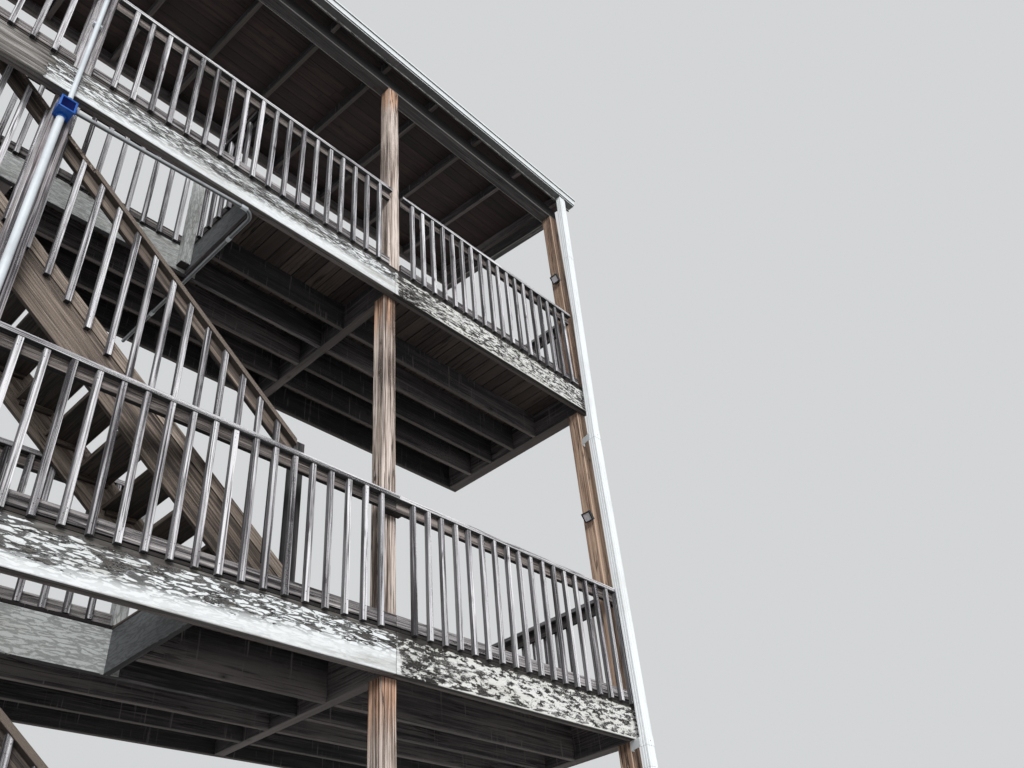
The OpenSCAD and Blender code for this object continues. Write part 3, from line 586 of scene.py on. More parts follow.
def trim_cover(finish, grain):
    """Paint is left only beside the stairwell"""
    x = grain.place.axis("X")
    low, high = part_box("upper_well_guard")
    beside = x.step(low.x - 0.09, low.x - 0.06) * x.step(high.x + 0.02, high.x)
    return 0.13 - (1 - beside) * 0.5 - grain.looking(DOWN) * 0.5, 0.3, 0.3, beside * 0.5


def fascia_cover(finish, grain):
    """Sound paint with a few cracks; the underside is left bare so that it reads dark, as painted shade"""
    return 0.12 - grain.looking(DOWN) * 0.6, 0.5, 0.0, 0.0


# The settings of each finish, by record slot or by small part; a face is a direction, a share and a colour
# laid on the faces that look that way, which is painted shade or painted light where noted
TIMBERS = {
    "weathered_post": dict(
        tones="grey_post", knot="5b3038", stain="7d6d6b", knots=0.8, fibres=105, bands=26, split=44,
        crisp=1.7, grooves=0.7),
    # A pale arris: wear together with a painted highlight
    "tan_post": dict(
        tones="tan_post", knot="3f2a20", stain="776c66", knots=0.9, bands=20, stained=0.4, split=24,
        varied=0.04, crisp=1.95, arris="d6cbc4", worn=0.4, sheltered=(0.98, 0.66, 0.46), grooves=0.45),
    # A pale arris: wear together with a painted highlight
    "brown_post": dict(
        tones="brown_post", knot="3a2418", stain="6b5443", knots=0.9, bands=20, stained=0.4, split=24,
        crisp=1.4, arris="c9b19b", grooves=0.4),
    # Faces that look down are lighter: painted light on the undersides
    "frame_timber": dict(
        tones="frame", knot="1a1412", stain="101011", knots=0.4, crisp=0.8, drips=0.8,
        faces=((DOWN, 0.45, "6d655f"),)),
    # A dark arris: painted shade in the gaps between boards; faces that look to the front are darker
    "deck_boards": dict(
        tones="deck", knot="1d1715", stain="1f1a17", bands=16, stained=0.25, crisp=0.4, arris="050404",
        worn=1.0, faces=((FRONT, 0.7, "1a1716"),)),
    # Faces that look down and faces that look to the left are darker: painted shade
    "guard_wood": dict(
        tones="guard", knot="3a3034", stain="3a3638", knots=0.7, fibres=90, bands=40, split=60, crisp=1.6,
        faces=((DOWN, 0.92, "0d0b0b"), (LEFT, 0.75, "2a2729"))),
    # Faces that look down are darker: painted shade
    "stair_wood": dict(
        tones="stair", knot="2f231e", stain="3a322c", bands=24, split=40, crisp=1.3,
        faces=((DOWN, 0.8, "12100f"),)),
    # A pale arris: wear together with a painted highlight; faces that look to the front and to the left are
    # darker
    "roof_timber": dict(
        tones="roof", knot="3a302c", stain="1c1a1a", bands=16, stained=0.4, varied=0.15, crisp=0.7,
        arris="c2c0bd", faces=((FRONT, 0.85, "0d0c0c"), (LEFT, 0.55, "161313"))),
    # A dark arris: painted shade in the gaps between boards
    "roof_boards": dict(
        tones="boards", knot="150c0a", stain="120b0a", knots=0.6, bands=18, stained=0.25, varied=0.14,
        crisp=0.5, arris="050303", worn=0.9),
}
PAINTS = {
    "peeling_paint": dict(tones="rim_wood", paint="rim_paint", cover=rim_cover),
    "painted_trim": dict(tones="frame", paint="trim_paint", cover=trim_cover),
    "fascia_paint": dict(tones="roof", paint="fascia_paint", cover=fascia_cover),
}
SMOOTH = {
    # The gutter's undersides take painted shade
    "white_sheet": dict(base="sheet_white", rough=0.35, dirt="a8a69f", dirty=0.25, under=0.9),
    "conduit": dict(base="conduit_grey", rough=0.45, dirt="8f9496", dirty=0.4),
    # The branch's underside takes painted shade
    "branch_pipe": dict(
        base="branch_grey", rough=0.35, dirt="3a3b3d", dirty=0.4, metallic=0.2, under=0.75),
    "blue_box": dict(base="box_blue", rough=0.4, dirt="0c3272", dirty=0.3),
    # The lid's panel is a darker copy of the box's blue: painted shade
    "box_panel": dict(base="box_panel", rough=0.6, dirt="0b2f86", dirty=0.3, scale=20.0, shine=0.05),
    "lamp_black": dict(base="lamp_black", rough=0.45, dirt="4b4a48", dirty=0.25),
    "lamp_lens": dict(base="lamp_lens", rough=0.25, dirt="8d8a90", dirty=0.4),
    "nail": dict(base="nail_rust", rough=0.6, dirt="5c3522", dirty=0.7, metallic=0.5, scale=40.0),
}
FINISHES = {"roofing": (rolled_roofing, {})}
for maker, table in ((bare_timber, TIMBERS), (peeling_paint, PAINTS), (plain_finish, SMOOTH)):
    FINISHES.update({slot: (maker, settings) for slot, settings in table.items()})
MADE = {}


def finish_for(slot):
    """The material of a record slot or of a small part, made when it is first needed"""
    if slot not in MADE:
        maker, settings = FINISHES[slot]
        MADE[slot] = maker(slot, **settings).material
    return MADE[slot]


# Nodes with a finish or a tone of their own: the right end post is browner, and the girders' higher tone
# paints light on them
FINISH_OF = {"end_post_right": "brown_post"}
TONE_OF = {"cross_girders": 1.0}


# Modelling helpers

def activate(piece):
    """Makes a piece the only selected and active one"""
    bpy.ops.object.select_all(action="DESELECT")
    piece.select_set(True)
    bpy.context.view_layer.objects.active = piece


def add_piece(mesh, name):
    """A new active piece with a mesh"""
    piece = bpy.data.objects.new(name, mesh)
    bpy.context.scene.collection.objects.link(piece)
    activate(piece)
    return piece


def start(kind, name, finish, **settings):
    """A primitive whose place, turn and size are in its mesh"""
    bpy.ops.object.select_all(action="DESELECT")
    getattr(bpy.ops.mesh, f"primitive_{kind}_add")(**settings)
    piece = bpy.context.object
    piece.name = name
    bpy.ops.object.transform_apply(location=True, rotation=True, scale=True)
    piece.data.materials.append(finish_for(finish))
    return piece


def block(name, finish, low, high):
    """A cube between two corners, to be shaped further"""
    low, high = Vector(low), Vector(high)
    return start("cube", name, finish, size=1, location=(low + high) / 2, scale=high - low)


def edit(piece):
    """Opens a piece in edit mode with nothing selected"""
    activate(piece)
    bpy.ops.object.mode_set(mode="EDIT")
    bpy.ops.mesh.select_all(action="DESELECT")


def select_all():
    """In edit mode, selects the whole mesh"""
    bpy.ops.mesh.select_all(action="SELECT")


def done():
    """Back to object mode"""
    bpy.ops.object.mode_set(mode="OBJECT")


def pick(piece, kind, test):
    """In edit mode, selects the verts, edges or faces that pass a test"""
    bpy.ops.mesh.select_mode(type={"verts": "VERT", "edges": "EDGE", "faces": "FACE"}[kind])
    bpy.ops.mesh.select_all(action="DESELECT")
    shape = bmesh.from_edit_mesh(piece.data)
    shape.normal_update()
    for item in getattr(shape, kind):
        if test(item):
            item.select_set(True)
    shape.select_flush_mode()
    bmesh.update_edit_mesh(piece.data)


def facing(direction, limit=0.9):
    """Test for faces that look in a direction"""
    return lambda face: face.normal.dot(direction) > limit


def draw_out(vector):
    """Extrudes what is selected by a vector"""
    bpy.ops.mesh.extrude_region_move(TRANSFORM_OT_translate={"value": tuple(vector)})


def apply_modifier(piece, kind, **settings):
    """Adds a modifier to a piece and applies it"""
    activate(piece)
    modifier = piece.modifiers.new(kind.title(), kind)
    for key, value in settings.items():
        setattr(modifier, key, value)
    bpy.ops.object.modifier_apply(modifier=modifier.name)


def wear_edges(piece, width, segments=1):
    """Rounds the sharp edges of a piece"""
    apply_modifier(
        piece, "BEVEL", width=width, segments=segments, limit_method="ANGLE", angle_limit=math.radians(60))


def smooth(piece, angle=40):
    """Shades a piece smooth across edges that bend less than an angle in degrees"""
    activate(piece)
    bpy.ops.object.shade_smooth_by_angle(angle=math.radians(angle))


def join(pieces, name):
    """Joins pieces as one"""
    bpy.ops.object.select_all(action="DESELECT")
    for piece in pieces:
        piece.select_set(True)
    bpy.context.view_layer.objects.active = pieces[0]
    if len(pieces) > 1:
        bpy.ops.object.join()
    pieces[0].name = name
    return pieces[0]


def copied(piece, matrix):
    """A copy with a mesh of its own, moved by a matrix"""
    mesh = piece.data.copy()
    mesh.transform(matrix)
    return add_piece(mesh, piece.name)


def show(piece, slot, *nodes):
    """Puts a piece under the root body and hides the nodes that it stands for; the slot is not used"""
    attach(piece, "root")
    if nodes:
        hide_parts(*nodes)
    return piece


def mark_grain(mesh, directions, tones, rises):
    """Stores the grain's direction, a tone and the share of the board's height at each point"""
    grain = mesh.attributes.new("grain", "FLOAT_VECTOR", "POINT")
    grain.data.foreach_set("vector", np.asarray(directions, np.float32).ravel())
    for name, values in (("tone", tones), ("rise", rises)):
        stored = mesh.attributes.new(name, "FLOAT", "POINT")
        stored.data.foreach_set("value", np.asarray(values, np.float32))


def cut_box(piece, finish, low, high):
    """Takes the box between two corners out of a piece"""
    cutter = block("cutter", finish, low, high)
    apply_modifier(piece, "BOOLEAN", operation="DIFFERENCE", object=cutter, solver="EXACT")
    bpy.data.objects.remove(cutter)


def islands(mesh):
    """Lists of point numbers, one for each loose part of a mesh"""
    parent = list(range(len(mesh.vertices)))

    def root(i):
        while parent[i] != i:
            parent[i] = parent[parent[i]]
            i = parent[i]
        return i

    for edge in mesh.edges:
        a, b = edge.vertices
        parent[root(a)] = root(b)
    groups = {}
    for i in range(len(parent)):
        groups.setdefault(root(i), []).append(i)
    return list(groups.values())


def clean_copy(node, name):
    """A node's mesh as a new piece, its loose triangles joined to flat faces"""
    piece = add_piece(NODES[node].data.copy(), name)
    bpy.ops.object.mode_set(mode="EDIT")
    select_all()
    bpy.ops.mesh.remove_doubles(threshold=1e-5)
    bpy.ops.mesh.dissolve_limited(angle_limit=math.radians(0.5))
    bpy.ops.object.mode_set(mode="OBJECT")
    piece.data.materials.clear()
    piece.data.materials.append(finish_for(FINISH_OF.get(node, SLOT_OF[node])))
    return piece


def solid_boxes(node):
    """Lowest and highest corners of each solid of a node"""
    piece = clean_copy(node, "probe")
    points = np.array([v.co for v in piece.data.vertices])
    boxes = [(Vector(points[g].min(0)), Vector(points[g].max(0))) for g in islands(piece.data)]
    bpy.data.objects.remove(piece)
    return sorted(boxes, key=lambda b: tuple(b[0]))


def node_timbers(node, wear):
    """The node's timbers with worn edges, each with its grain along its length"""
    piece = clean_copy(node, node + "_timber")
    points = np.array([v.co for v in piece.data.vertices])
    directions = np.zeros_like(points)
    tones, rises = np.zeros((2, len(points)))
    dice = random.Random(node)
    for group in islands(piece.data):
        spread = points[group] - points[group].mean(0)
        directions[group] = np.linalg.svd(spread, full_matrices=False)[2][0]
        tones[group] = TONE_OF.get(node, 0.0) + dice.random()
        height = spread[:, 2]
        rises[group] = (height - height.min()) / max(np.ptp(height), 0.01)
    mark_grain(piece.data, directions, tones, rises)
    wear_edges(piece, wear)
    return show(piece, SLOT_OF[node], node)


def between(low, high, slope=(0.0, 0.0)):
    """Matrix that takes a unit cube to the box between two corners, with a slope along X and along Y"""
    low, high = Vector(low), Vector(high)
    lean = Matrix.Identity(4)
    lean[2][0], lean[2][1] = slope
    return Matrix.Translation((low + high) / 2) @ lean @ Matrix.Diagonal((*(high - low), 1))


def nail_heads(places, width, toward):
    """Small domed heads on a face, as separate pieces"""
    turn = Vector(toward).to_track_quat("Z", "Y").to_matrix().to_4x4()
    head = start(
        "cone", "nail", "nail", vertices=8, radius1=width / 2, radius2=width * 0.28, depth=width * 0.4)
    heads = [copied(head, Matrix.Translation(place) @ turn) for place in places]
    bpy.data.objects.remove(head)
    return heads


def nailed(timber, stick, rails, tall):
    """A baluster with two nails in each rail, given the heights of the rails' middles"""
    half = timber.baluster / 2
    places = [(side * half * 0.4, -2 * half, z + side * tall * 0.2) for z in rails for side in (-1, 1)]
    return join([stick, *nail_heads(places, timber.nail, -Y)], stick.name)


class Boards:
    """Boards copied from one cube and parts copied from one model, joined as one piece at the end"""

    def __init__(self, name, slot):
        self.name = name
        self.slot = slot
        self.dice = random.Random(name)
        self.cube = start("cube", "board", slot, size=1)
        self.parts = []

    def copy(self, model, matrix, direction, tone=0.0):
        """A copy of a model with its grain along a direction; a tone below zero gives it painted shade"""
        part = copied(model, matrix)
        count = len(part.data.vertices)
        tone = tone + self.dice.random() * (0.1 if tone else 1.0)
        mark_grain(part.data, [Vector(direction).normalized()] * count, [tone] * count, [0.5] * count)
        self.parts.append(part)
        return part

    def add(self, low, high, direction, slope=(0.0, 0.0), place=Matrix.Identity(4), tone=0.0):
        """A board between two corners, with its grain along a direction"""
        turned = place.to_3x3() @ Vector(direction)
        return self.copy(self.cube, place @ between(low, high, slope), turned, tone)

    def wobble(self, turn=1.2, lean=0.25, shift=0.003):
        """A small turn, lean and shift, different for each board"""
        dice = self.dice
        angles = [math.radians(dice.uniform(-a, a)) for a in (lean, lean, turn)]
        return Matrix.Translation((0, 0, dice.uniform(-shift, shift))) @ Euler(angles).to_matrix().to_4x4()

    def join(self, wear, *nodes):
        """All the boards as one piece that stands for the nodes"""
        bpy.data.objects.remove(self.cube)
        piece = join(self.parts, self.name)
        wear_edges(piece, wear)
        return show(piece, self.slot, *nodes)


def folded_sheet(name, finish, width, profile, thickness, place=Matrix.Identity(4), ends=False,
                 bend=0.0):
    """A sheet whose edge, along X from 0 to width, is drawn out along a profile of (y, z) points"""
    piece = start("plane", name, finish, size=width, location=(width / 2, 0, 0))
    edit(piece)
    pick(piece, "verts", lambda v: v.co.y > 0)
    bpy.ops.mesh.delete(type="VERT")
    select_all()
    bpy.ops.transform.translate(value=(0, profile[0][0] + width / 2, profile[0][1]))
    for (y0, z0), (y1, z1) in zip(profile, profile[1:]):
        draw_out((0, y1 - y0, z1 - z0))
    if ends:
        for x in (0, width):
            pick(piece, "verts", lambda v: abs(v.co.x - x) < 1e-5)
            bpy.ops.mesh.edge_face_add()
    select_all()
    bpy.ops.mesh.normals_make_consistent(inside=False)
    done()
    apply_modifier(piece, "SOLIDIFY", thickness=thickness, offset=0, use_even_offset=True)
    if bend:
        wear_edges(piece, bend)
    piece.data.transform(place)
    if place.is_negative:
        piece.data.flip_normals()
    return piece


def tube(name, finish, radius, start_at, path, sides=20):
    """A round tube along a path of ("go", vector) and anticlockwise ("turn", centre, axis, angle) steps"""
    first = Vector(path[0][1])
    piece = start(
        "circle", name, finish, vertices=sides, radius=radius, location=start_at,
        rotation=first.to_track_quat("Z", "Y").to_euler())
    edit(piece)
    select_all()
    for step in path:
        if step[0] == "go":
            draw_out(step[1])
        else:
            bpy.ops.mesh.spin(steps=10, angle=-step[3], center=step[1], axis=step[2])
    bpy.ops.mesh.edge_face_add()
    pick(piece, "verts", lambda v: abs((v.co - Vector(start_at)).dot(first)) < 1e-5)
    bpy.ops.mesh.edge_face_add()
    select_all()
    bpy.ops.mesh.remove_doubles(threshold=1e-6)
    bpy.ops.mesh.normals_make_consistent(inside=False)
    done()
    smooth(piece)
    return piece


def collar(name, finish, radius, low, high):
    """A round coupling or hub between two points, with rounded rims"""
    low, high = Vector(low), Vector(high)
    piece = start(
        "cylinder", name, finish, vertices=20, radius=radius, depth=(high - low).length,
        location=(low + high) / 2, rotation=(high - low).to_track_quat("Z", "Y").to_euler())
    wear_edges(piece, 0.0025, 2)
    smooth(piece)
    return piece


# Operators

class STAIR_OT_frames(Operator):
    """Posts, floor frames and roof timbers with worn edges"""
    bl_idname = "stair.frames"
    bl_label = "Frame timbers"

    nodes = (
        "end_post_left", "post_left", "post_right", "end_post_right", "lower_rim", "upper_rim", "rim_plies",
        "cross_girders", "lower_joists", "upper_joists", "wall_ledgers", "lower_trimmers", "upper_trimmers",
        "newels", "roof_beams", "rafters", "fascia")

    def execute(self, context):
        timber = context.scene.stair_timber
        for node in self.nodes:
            wear = timber.post_wear if "post" in node else timber.edge_wear
            node_timbers(node, timber.beam_wear if node in ("roof_beams", "fascia") else wear)
        return {"FINISHED"}


class STAIR_OT_decks(Operator):
    """Deck boards from front to back, cut round the posts"""
    bl_idname = "stair.decks"
    bl_label = "Deck boards"

    def execute(self, context):
        timber = context.scene.stair_timber
        posts = [box for node in ("end_post_left", "post_left", "post_right", "end_post_right")
                 for box in solid_boxes(node)]
        for node in ("lower_deck", "upper_deck"):
            boards = Boards(node + "_boards", SLOT_OF[node])
            for low, high in solid_boxes(node):
                if high.y - low.y < timber.board_width:
                    boards.add(low, high, X)
                    continue
                # A post that ends at the deck doesn't go through it
                through = [p for p in posts if p[0].z < high.z and p[1].z > high.z + 0.5
                           and p[0].y < high.y and p[1].y > low.y]
                count = max(1, round((high.x - low.x) / (timber.board_width + timber.board_gap)))
                pitch = (high.x - low.x) / count
                for i in range(count):
                    x0 = low.x + i * pitch + timber.board_gap / 2
                    x1 = x0 + pitch - timber.board_gap * boards.dice.uniform(0.7, 1.4)
                    hit = [p for p in through if p[0].x < x1 and p[1].x > x0]
                    starts = [(low.y, hit[0][0].y), (hit[0][1].y, high.y)] if hit else [(low.y, high.y)]
                    for y0, y1 in starts:
                        top = high.z - boards.dice.uniform(0, 0.0015)
                        boards.add((x0, y0, low.z), (x1, y1, top), Y)
            boards.join(timber.edge_wear, node)
        return {"FINISHED"}


class STAIR_OT_guards(Operator):
    """Guards of the galleries: caps, rails and square balusters with their nails"""
    bl_idname = "stair.guards"
    bl_label = "Gallery guards"

    def baluster(self, timber, foot):
        """One baluster that stands in front of the rails, with two nails in each rail"""
        cap_low = timber.guard_height - timber.cap_thickness
        half, tall = timber.baluster / 2, timber.rail_height
        stick = block("baluster", "guard_wood", (-half, -2 * half, -foot), (half, 0, cap_low + 0.003))
        return nailed(timber, stick, (timber.rail_gap + tall / 2, cap_low - tall / 2), tall)

    def guard(self, timber, node, place, long, foot, behind=None, blocks=0.0, count=None,
              free=(0.0, 1e3), cap_end=0.0):
        """One guard in its own axes: it runs along X, its rails stand behind y = 0, z = 0 is the floor"""
        boards = Boards(node + "_boards", "guard_wood")
        lip = timber.baluster + timber.cap_lip
        cap_low = timber.guard_height - timber.cap_thickness
        thick, tall = timber.rail_thickness, timber.rail_height
        behind = behind or timber.cap_width - lip
        boards.add((0, -lip, cap_low), (long + cap_end, behind, timber.guard_height), X, place=place)
        # Both rails get painted shade, and the one under the cap more so
        for z, tone in ((timber.rail_gap, -0.48), (cap_low - tall, -0.62)):
            boards.add((0, 0, z), (long, thick, z + tall), X, place=place, tone=tone)
            # Blocks behind the rail's ends fill the gap to the posts
            for x in (0, long - tall) if blocks else ():
                boards.add((x, thick, z), (x + tall, blocks, z + tall), X, place=place, tone=tone)
        count = count or max(1, round(long / timber.baluster_pitch) - 1)
        model = self.baluster(timber, foot)
        for i in range(1, count + 1):
            x = i * long / (count + 1)
            if free[0] < x < free[1]:
                spot = Matrix.Translation((x, 0, 0)) @ boards.wobble()
                boards.copy(model, place @ spot, Z)
        bpy.data.objects.remove(model)
        boards.join(timber.edge_wear * 0.6, node)

    def execute(self, context):
        timber = context.scene.stair_timber
        lip = timber.baluster + timber.cap_lip
        foot, no_foot = timber.foot_drop, -timber.rail_gap
        floors = {"lower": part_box("lower_deck")[1].z, "upper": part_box("upper_deck")[1].z}
        for level, z in floors.items():
            for side in ("left", "middle", "right"):
                node = f"{level}_guard_{side}"
                low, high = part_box(node)
                place = Matrix.Translation((low.x, low.y + lip, z))
                deep = high.y - low.y - lip if level == "lower" else 0.0
                self.guard(timber, node, place, high.x - low.x, foot, deep, deep, timber.bay_balusters)
            for side, turn in (("left", -90), ("right", 90)):
                node = f"{level}_end_guard_{side}"
                low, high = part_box(node)
                corner = (high.x - lip, low.y, z) if turn > 0 else (low.x + lip, high.y, z)
                place = Matrix.Translation(corner) @ Matrix.Rotation(math.radians(turn), 4, "Z")
                self.guard(timber, node, place, high.y - low.y, no_foot)
        # Round the upper stairwell the corner newel takes the place of the nearest balusters
        low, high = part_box("lower_well_guard")
        place = Matrix.Translation((low.x, low.y + lip, floors["lower"]))
        self.guard(timber, "lower_well_guard", place, high.x - low.x, no_foot)
        low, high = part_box("upper_well_guard")
        behind = timber.cap_width - lip
        long = high.x - low.x - behind
        place = Matrix.Translation((low.x, low.y + lip, floors["upper"]))
        self.guard(timber, "upper_well_guard", place, long, foot, free=(0, long - timber.newel),
                   cap_end=behind)
        low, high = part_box("well_end_guard")
        place = Matrix.Translation((low.x + lip, high.y, floors["upper"]))
        place = place @ Matrix.Rotation(-math.pi / 2, 4, "Z")
        self.guard(timber, "well_end_guard", place, high.y - low.y, foot, free=(timber.newel - lip, 1e3))
        return {"FINISHED"}


class STAIR_OT_flights(Operator):
    """Stringers, treads with cleats, and the sloping guards"""
    bl_idname = "stair.flights"
    bl_label = "Flights"

    def execute(self, context):
        timber = context.scene.stair_timber
        for level in ("lower", "upper"):
            stringers, treads = level + "_stringers", level + "_treads"
            node_timbers(stringers, timber.edge_wear)
            node_timbers(treads, timber.edge_wear * 1.5)
            low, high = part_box(stringers)
            steps = solid_boxes(treads)
            slope = (steps[0][1].z - steps[-1][1].z) / (steps[-1][1].x - steps[0][1].x)
            self.cleats(timber, level, steps)
            self.guard(timber, level, low, high, slope)
        return {"FINISHED"}

    def cleats(self, timber, level, steps):
        """Strips on the stringers that carry each tread"""
        boards = Boards(level + "_tread_cleats", "stair_wood")
        wide, tall = timber.cleat_width, timber.cleat_height
        for low, high in steps:
            for y in (low.y, high.y - wide):
                boards.add((low.x + 0.03, y, low.z - tall), (high.x - 0.02, y + wide, low.z), X)
        boards.join(timber.edge_wear * 0.6)

    def guard(self, timber, level, low, high, slope):
        """The sloping guard: notched cap, two rails and plumb balusters cut to the slope"""
        node = level + "_stair_guard"
        boards = Boards(node + "_boards", "stair_wood")
        steep = math.sqrt(1 + slope * slope)
        face, end = low.y, high.x
        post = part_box("post_left")[1].x

        def line(x):
            """Height of the nosings at x"""
            return high.z - slope * (x - low.x)

        def sloping(y0, y1, top, thick):
            """A board along the slope, between two sides and with its top over the nosings"""
            low_z = line((low.x + end) / 2) + top - thick
            return boards.add(
                (low.x, y0, low_z), (end, y1, low_z + thick), (1, 0, -slope), (-slope, 0))

        cap = timber.cap_thickness * steep
        top = timber.stair_guard_height
        cap_y = face - timber.baluster
        cap_board = sloping(cap_y - timber.cap_notch, cap_y - timber.cap_notch + timber.cap_width, top, cap)
        # The notch makes room for the post; it runs from the cap's upper end to past the post
        cut_box(cap_board, boards.slot, (low.x - 1, cap_y - 1, 0), (post + timber.cap_notch_end, cap_y, 9))
        rail = timber.rail_height * steep
        for up in (top - cap, timber.stair_rail_rise + rail):
            sloping(face, face + timber.rail_thickness, up, rail)
        half = timber.baluster / 2
        foot = -timber.stair_foot_drop - slope * half
        model = block("stair_baluster", "guard_wood", (-half, -2 * half, foot), (half, 0, top))
        edit(model)
        select_all()
        bpy.ops.mesh.bisect(
            plane_co=(0, 0, top - cap + 0.003), plane_no=(slope, 0, 1), use_fill=True, clear_outer=True)
        done()
        model = nailed(timber, model, (timber.stair_rail_rise + rail / 2, top - cap - rail / 2), rail)
        count = timber.stair_balusters
        for i in range(1, count + 1):
            x = low.x + i * (end - low.x) / (count + 1)
            boards.copy(model, Matrix.Translation((x, face, line(x))) @ boards.wobble(1.0, 0.2, 0.002), Z)
        bpy.data.objects.remove(model)
        boards.join(timber.edge_wear * 0.6, node)


class STAIR_OT_roof(Operator):
    """Roof boards in staggered lengths, rolled roofing on them and a drip edge"""
    bl_idname = "stair.roof"
    bl_label = "Roof"

    def execute(self, context):
        timber = context.scene.stair_timber
        metal = context.scene.stair_metal
        low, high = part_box("roof_deck")
        deep, wide = high.y - low.y, high.x - low.x
        rise = (high.z - low.z - timber.roof_thickness) / deep
        boards = Boards("roof_boards", SLOT_OF["roof_deck"])
        thick = timber.roof_board_thickness
        count = round(deep / timber.roof_board)
        pitch = deep / count
        for i in range(count):
            y0, y1 = low.y + i * pitch + 0.001, low.y + (i + 1) * pitch - 0.0015
            z = low.z + rise * ((y0 + y1) / 2 - low.y)
            joints = sorted(low.x + wide * (k + boards.dice.uniform(-0.12, 0.12)) / 3 for k in (1, 2))
            ends = [low.x, *joints, high.x]
            for x0, x1 in zip(ends, ends[1:]):
                boards.add((x0 + 0.001, y0, z), (x1 - 0.001, y1, z + thick), X, (0, rise))
        boards.join(timber.edge_wear * 0.4, "roof_deck")

        # Each strip of roofing laps over the one below it
        rolls, strips, lap = [], timber.roofing_strips, timber.roofing_lap
        top = low.z + thick
        for i in range(strips):
            y0 = low.y - 0.006 + i * deep / strips
            y1 = min(high.y, low.y + (i + 1) * deep / strips + lap)
            z0 = top + 0.0015 + rise * (y0 - low.y) + (0.0015 if i else 0.0)
            z1 = z0 + rise * (y1 - y0)
            profile = [(y0, z0), (y1 - lap, z1 - rise * lap), (y1, z1 - 0.001)]
            rolls.append(folded_sheet(
                "roofing", "roofing", wide - 0.004, profile, 0.003,
                Matrix.Translation((low.x + 0.002, 0, 0))))
        show(join(rolls, "rolled_roofing"), SLOT_OF["roof_deck"])

        profile = [
            (low.y + 0.05, top + 0.0005 + rise * 0.05), (low.y - 0.002, top + 0.0005),
            (low.y - 0.002, low.z - 0.022), (low.y - 0.009, low.z - 0.028)]
        drip = folded_sheet(
            "drip_edge", "white_sheet", wide - 0.01, profile, metal.sheet,
            Matrix.Translation((low.x + 0.005, 0, 0)))
        show(drip, "white_sheet")
        return {"FINISHED"}


class STAIR_OT_gutter(Operator):
    """Gutter with a stepped front and rolled lip, end caps, joint sleeves and hangers"""
    bl_idname = "stair.gutter"
    bl_label = "Gutter"

    def execute(self, context):
        metal = context.scene.stair_metal
        low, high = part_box("gutter")
        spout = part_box("downspout")[1].x
        back, tall, wide = high.y, metal.gutter_height, high.x - low.x
        foot, top = -metal.gutter_foot, -metal.gutter_top
        inset = metal.sheet
        profile = [
            (-inset, tall), (-inset, inset), (foot + inset, inset), (foot + inset, tall * 0.15),
            (foot - 0.012, tall * 0.18), (foot - 0.014, tall * 0.30), (foot - 0.017, tall * 0.50),
            (foot - 0.023, tall * 0.64), (foot - 0.026, tall * 0.76), (top + 0.004, tall * 0.785),
            (top + inset, tall * 0.83), (top + inset, tall * 0.985), (top + 0.011, tall * 0.985),
            (top + 0.011, tall * 0.93)]
        place = Matrix.Translation((low.x, back, low.z))
        trough = folded_sheet(
            "gutter_trough", "white_sheet", wide, profile, metal.sheet, place, ends=True, bend=0.0006)
        # The outlet's hole over the downspout
        cut_box(trough, "white_sheet", (spout - metal.spout_width + 0.01, back - 0.07, low.z - 0.02),
                (spout - 0.012, back - 0.015, low.z + 0.02))
        parts = [trough]
        # Sleeves fit round the outside of the trough
        outer = [(y - 0.0012 if y < -0.05 else y, z - 0.0012 if z < 0.05 else z) for y, z in profile[1:12]]
        sleeve = folded_sheet("gutter_sleeve", "white_sheet", 0.06, outer, metal.sheet)
        count = round(wide / metal.gutter_piece)
        for i in range(1, count):
            x = low.x + i * wide / count
            parts.append(copied(sleeve, Matrix.Translation((x - 0.03, back, low.z))))
        hanger = folded_sheet(
            "gutter_hanger", "white_sheet", 0.028,
            [(-0.003, tall * 0.72), (-0.003, tall * 0.9), (-0.03, tall * 0.94), (top + 0.03, tall * 0.94),
             (top + 0.013, tall * 0.9), (top + 0.013, tall * 0.84)], 0.002)
        count = int(wide / metal.hanger_pitch)
        for i in range(count):
            x = low.x + (i + 0.5) * wide / count
            parts.append(copied(hanger, Matrix.Translation((x - 0.014, back, low.z))))
        for model in (sleeve, hanger):
            bpy.data.objects.remove(model)
        show(join(parts, "gutter_sheet"), "white_sheet", "gutter")
        return {"FINISHED"}


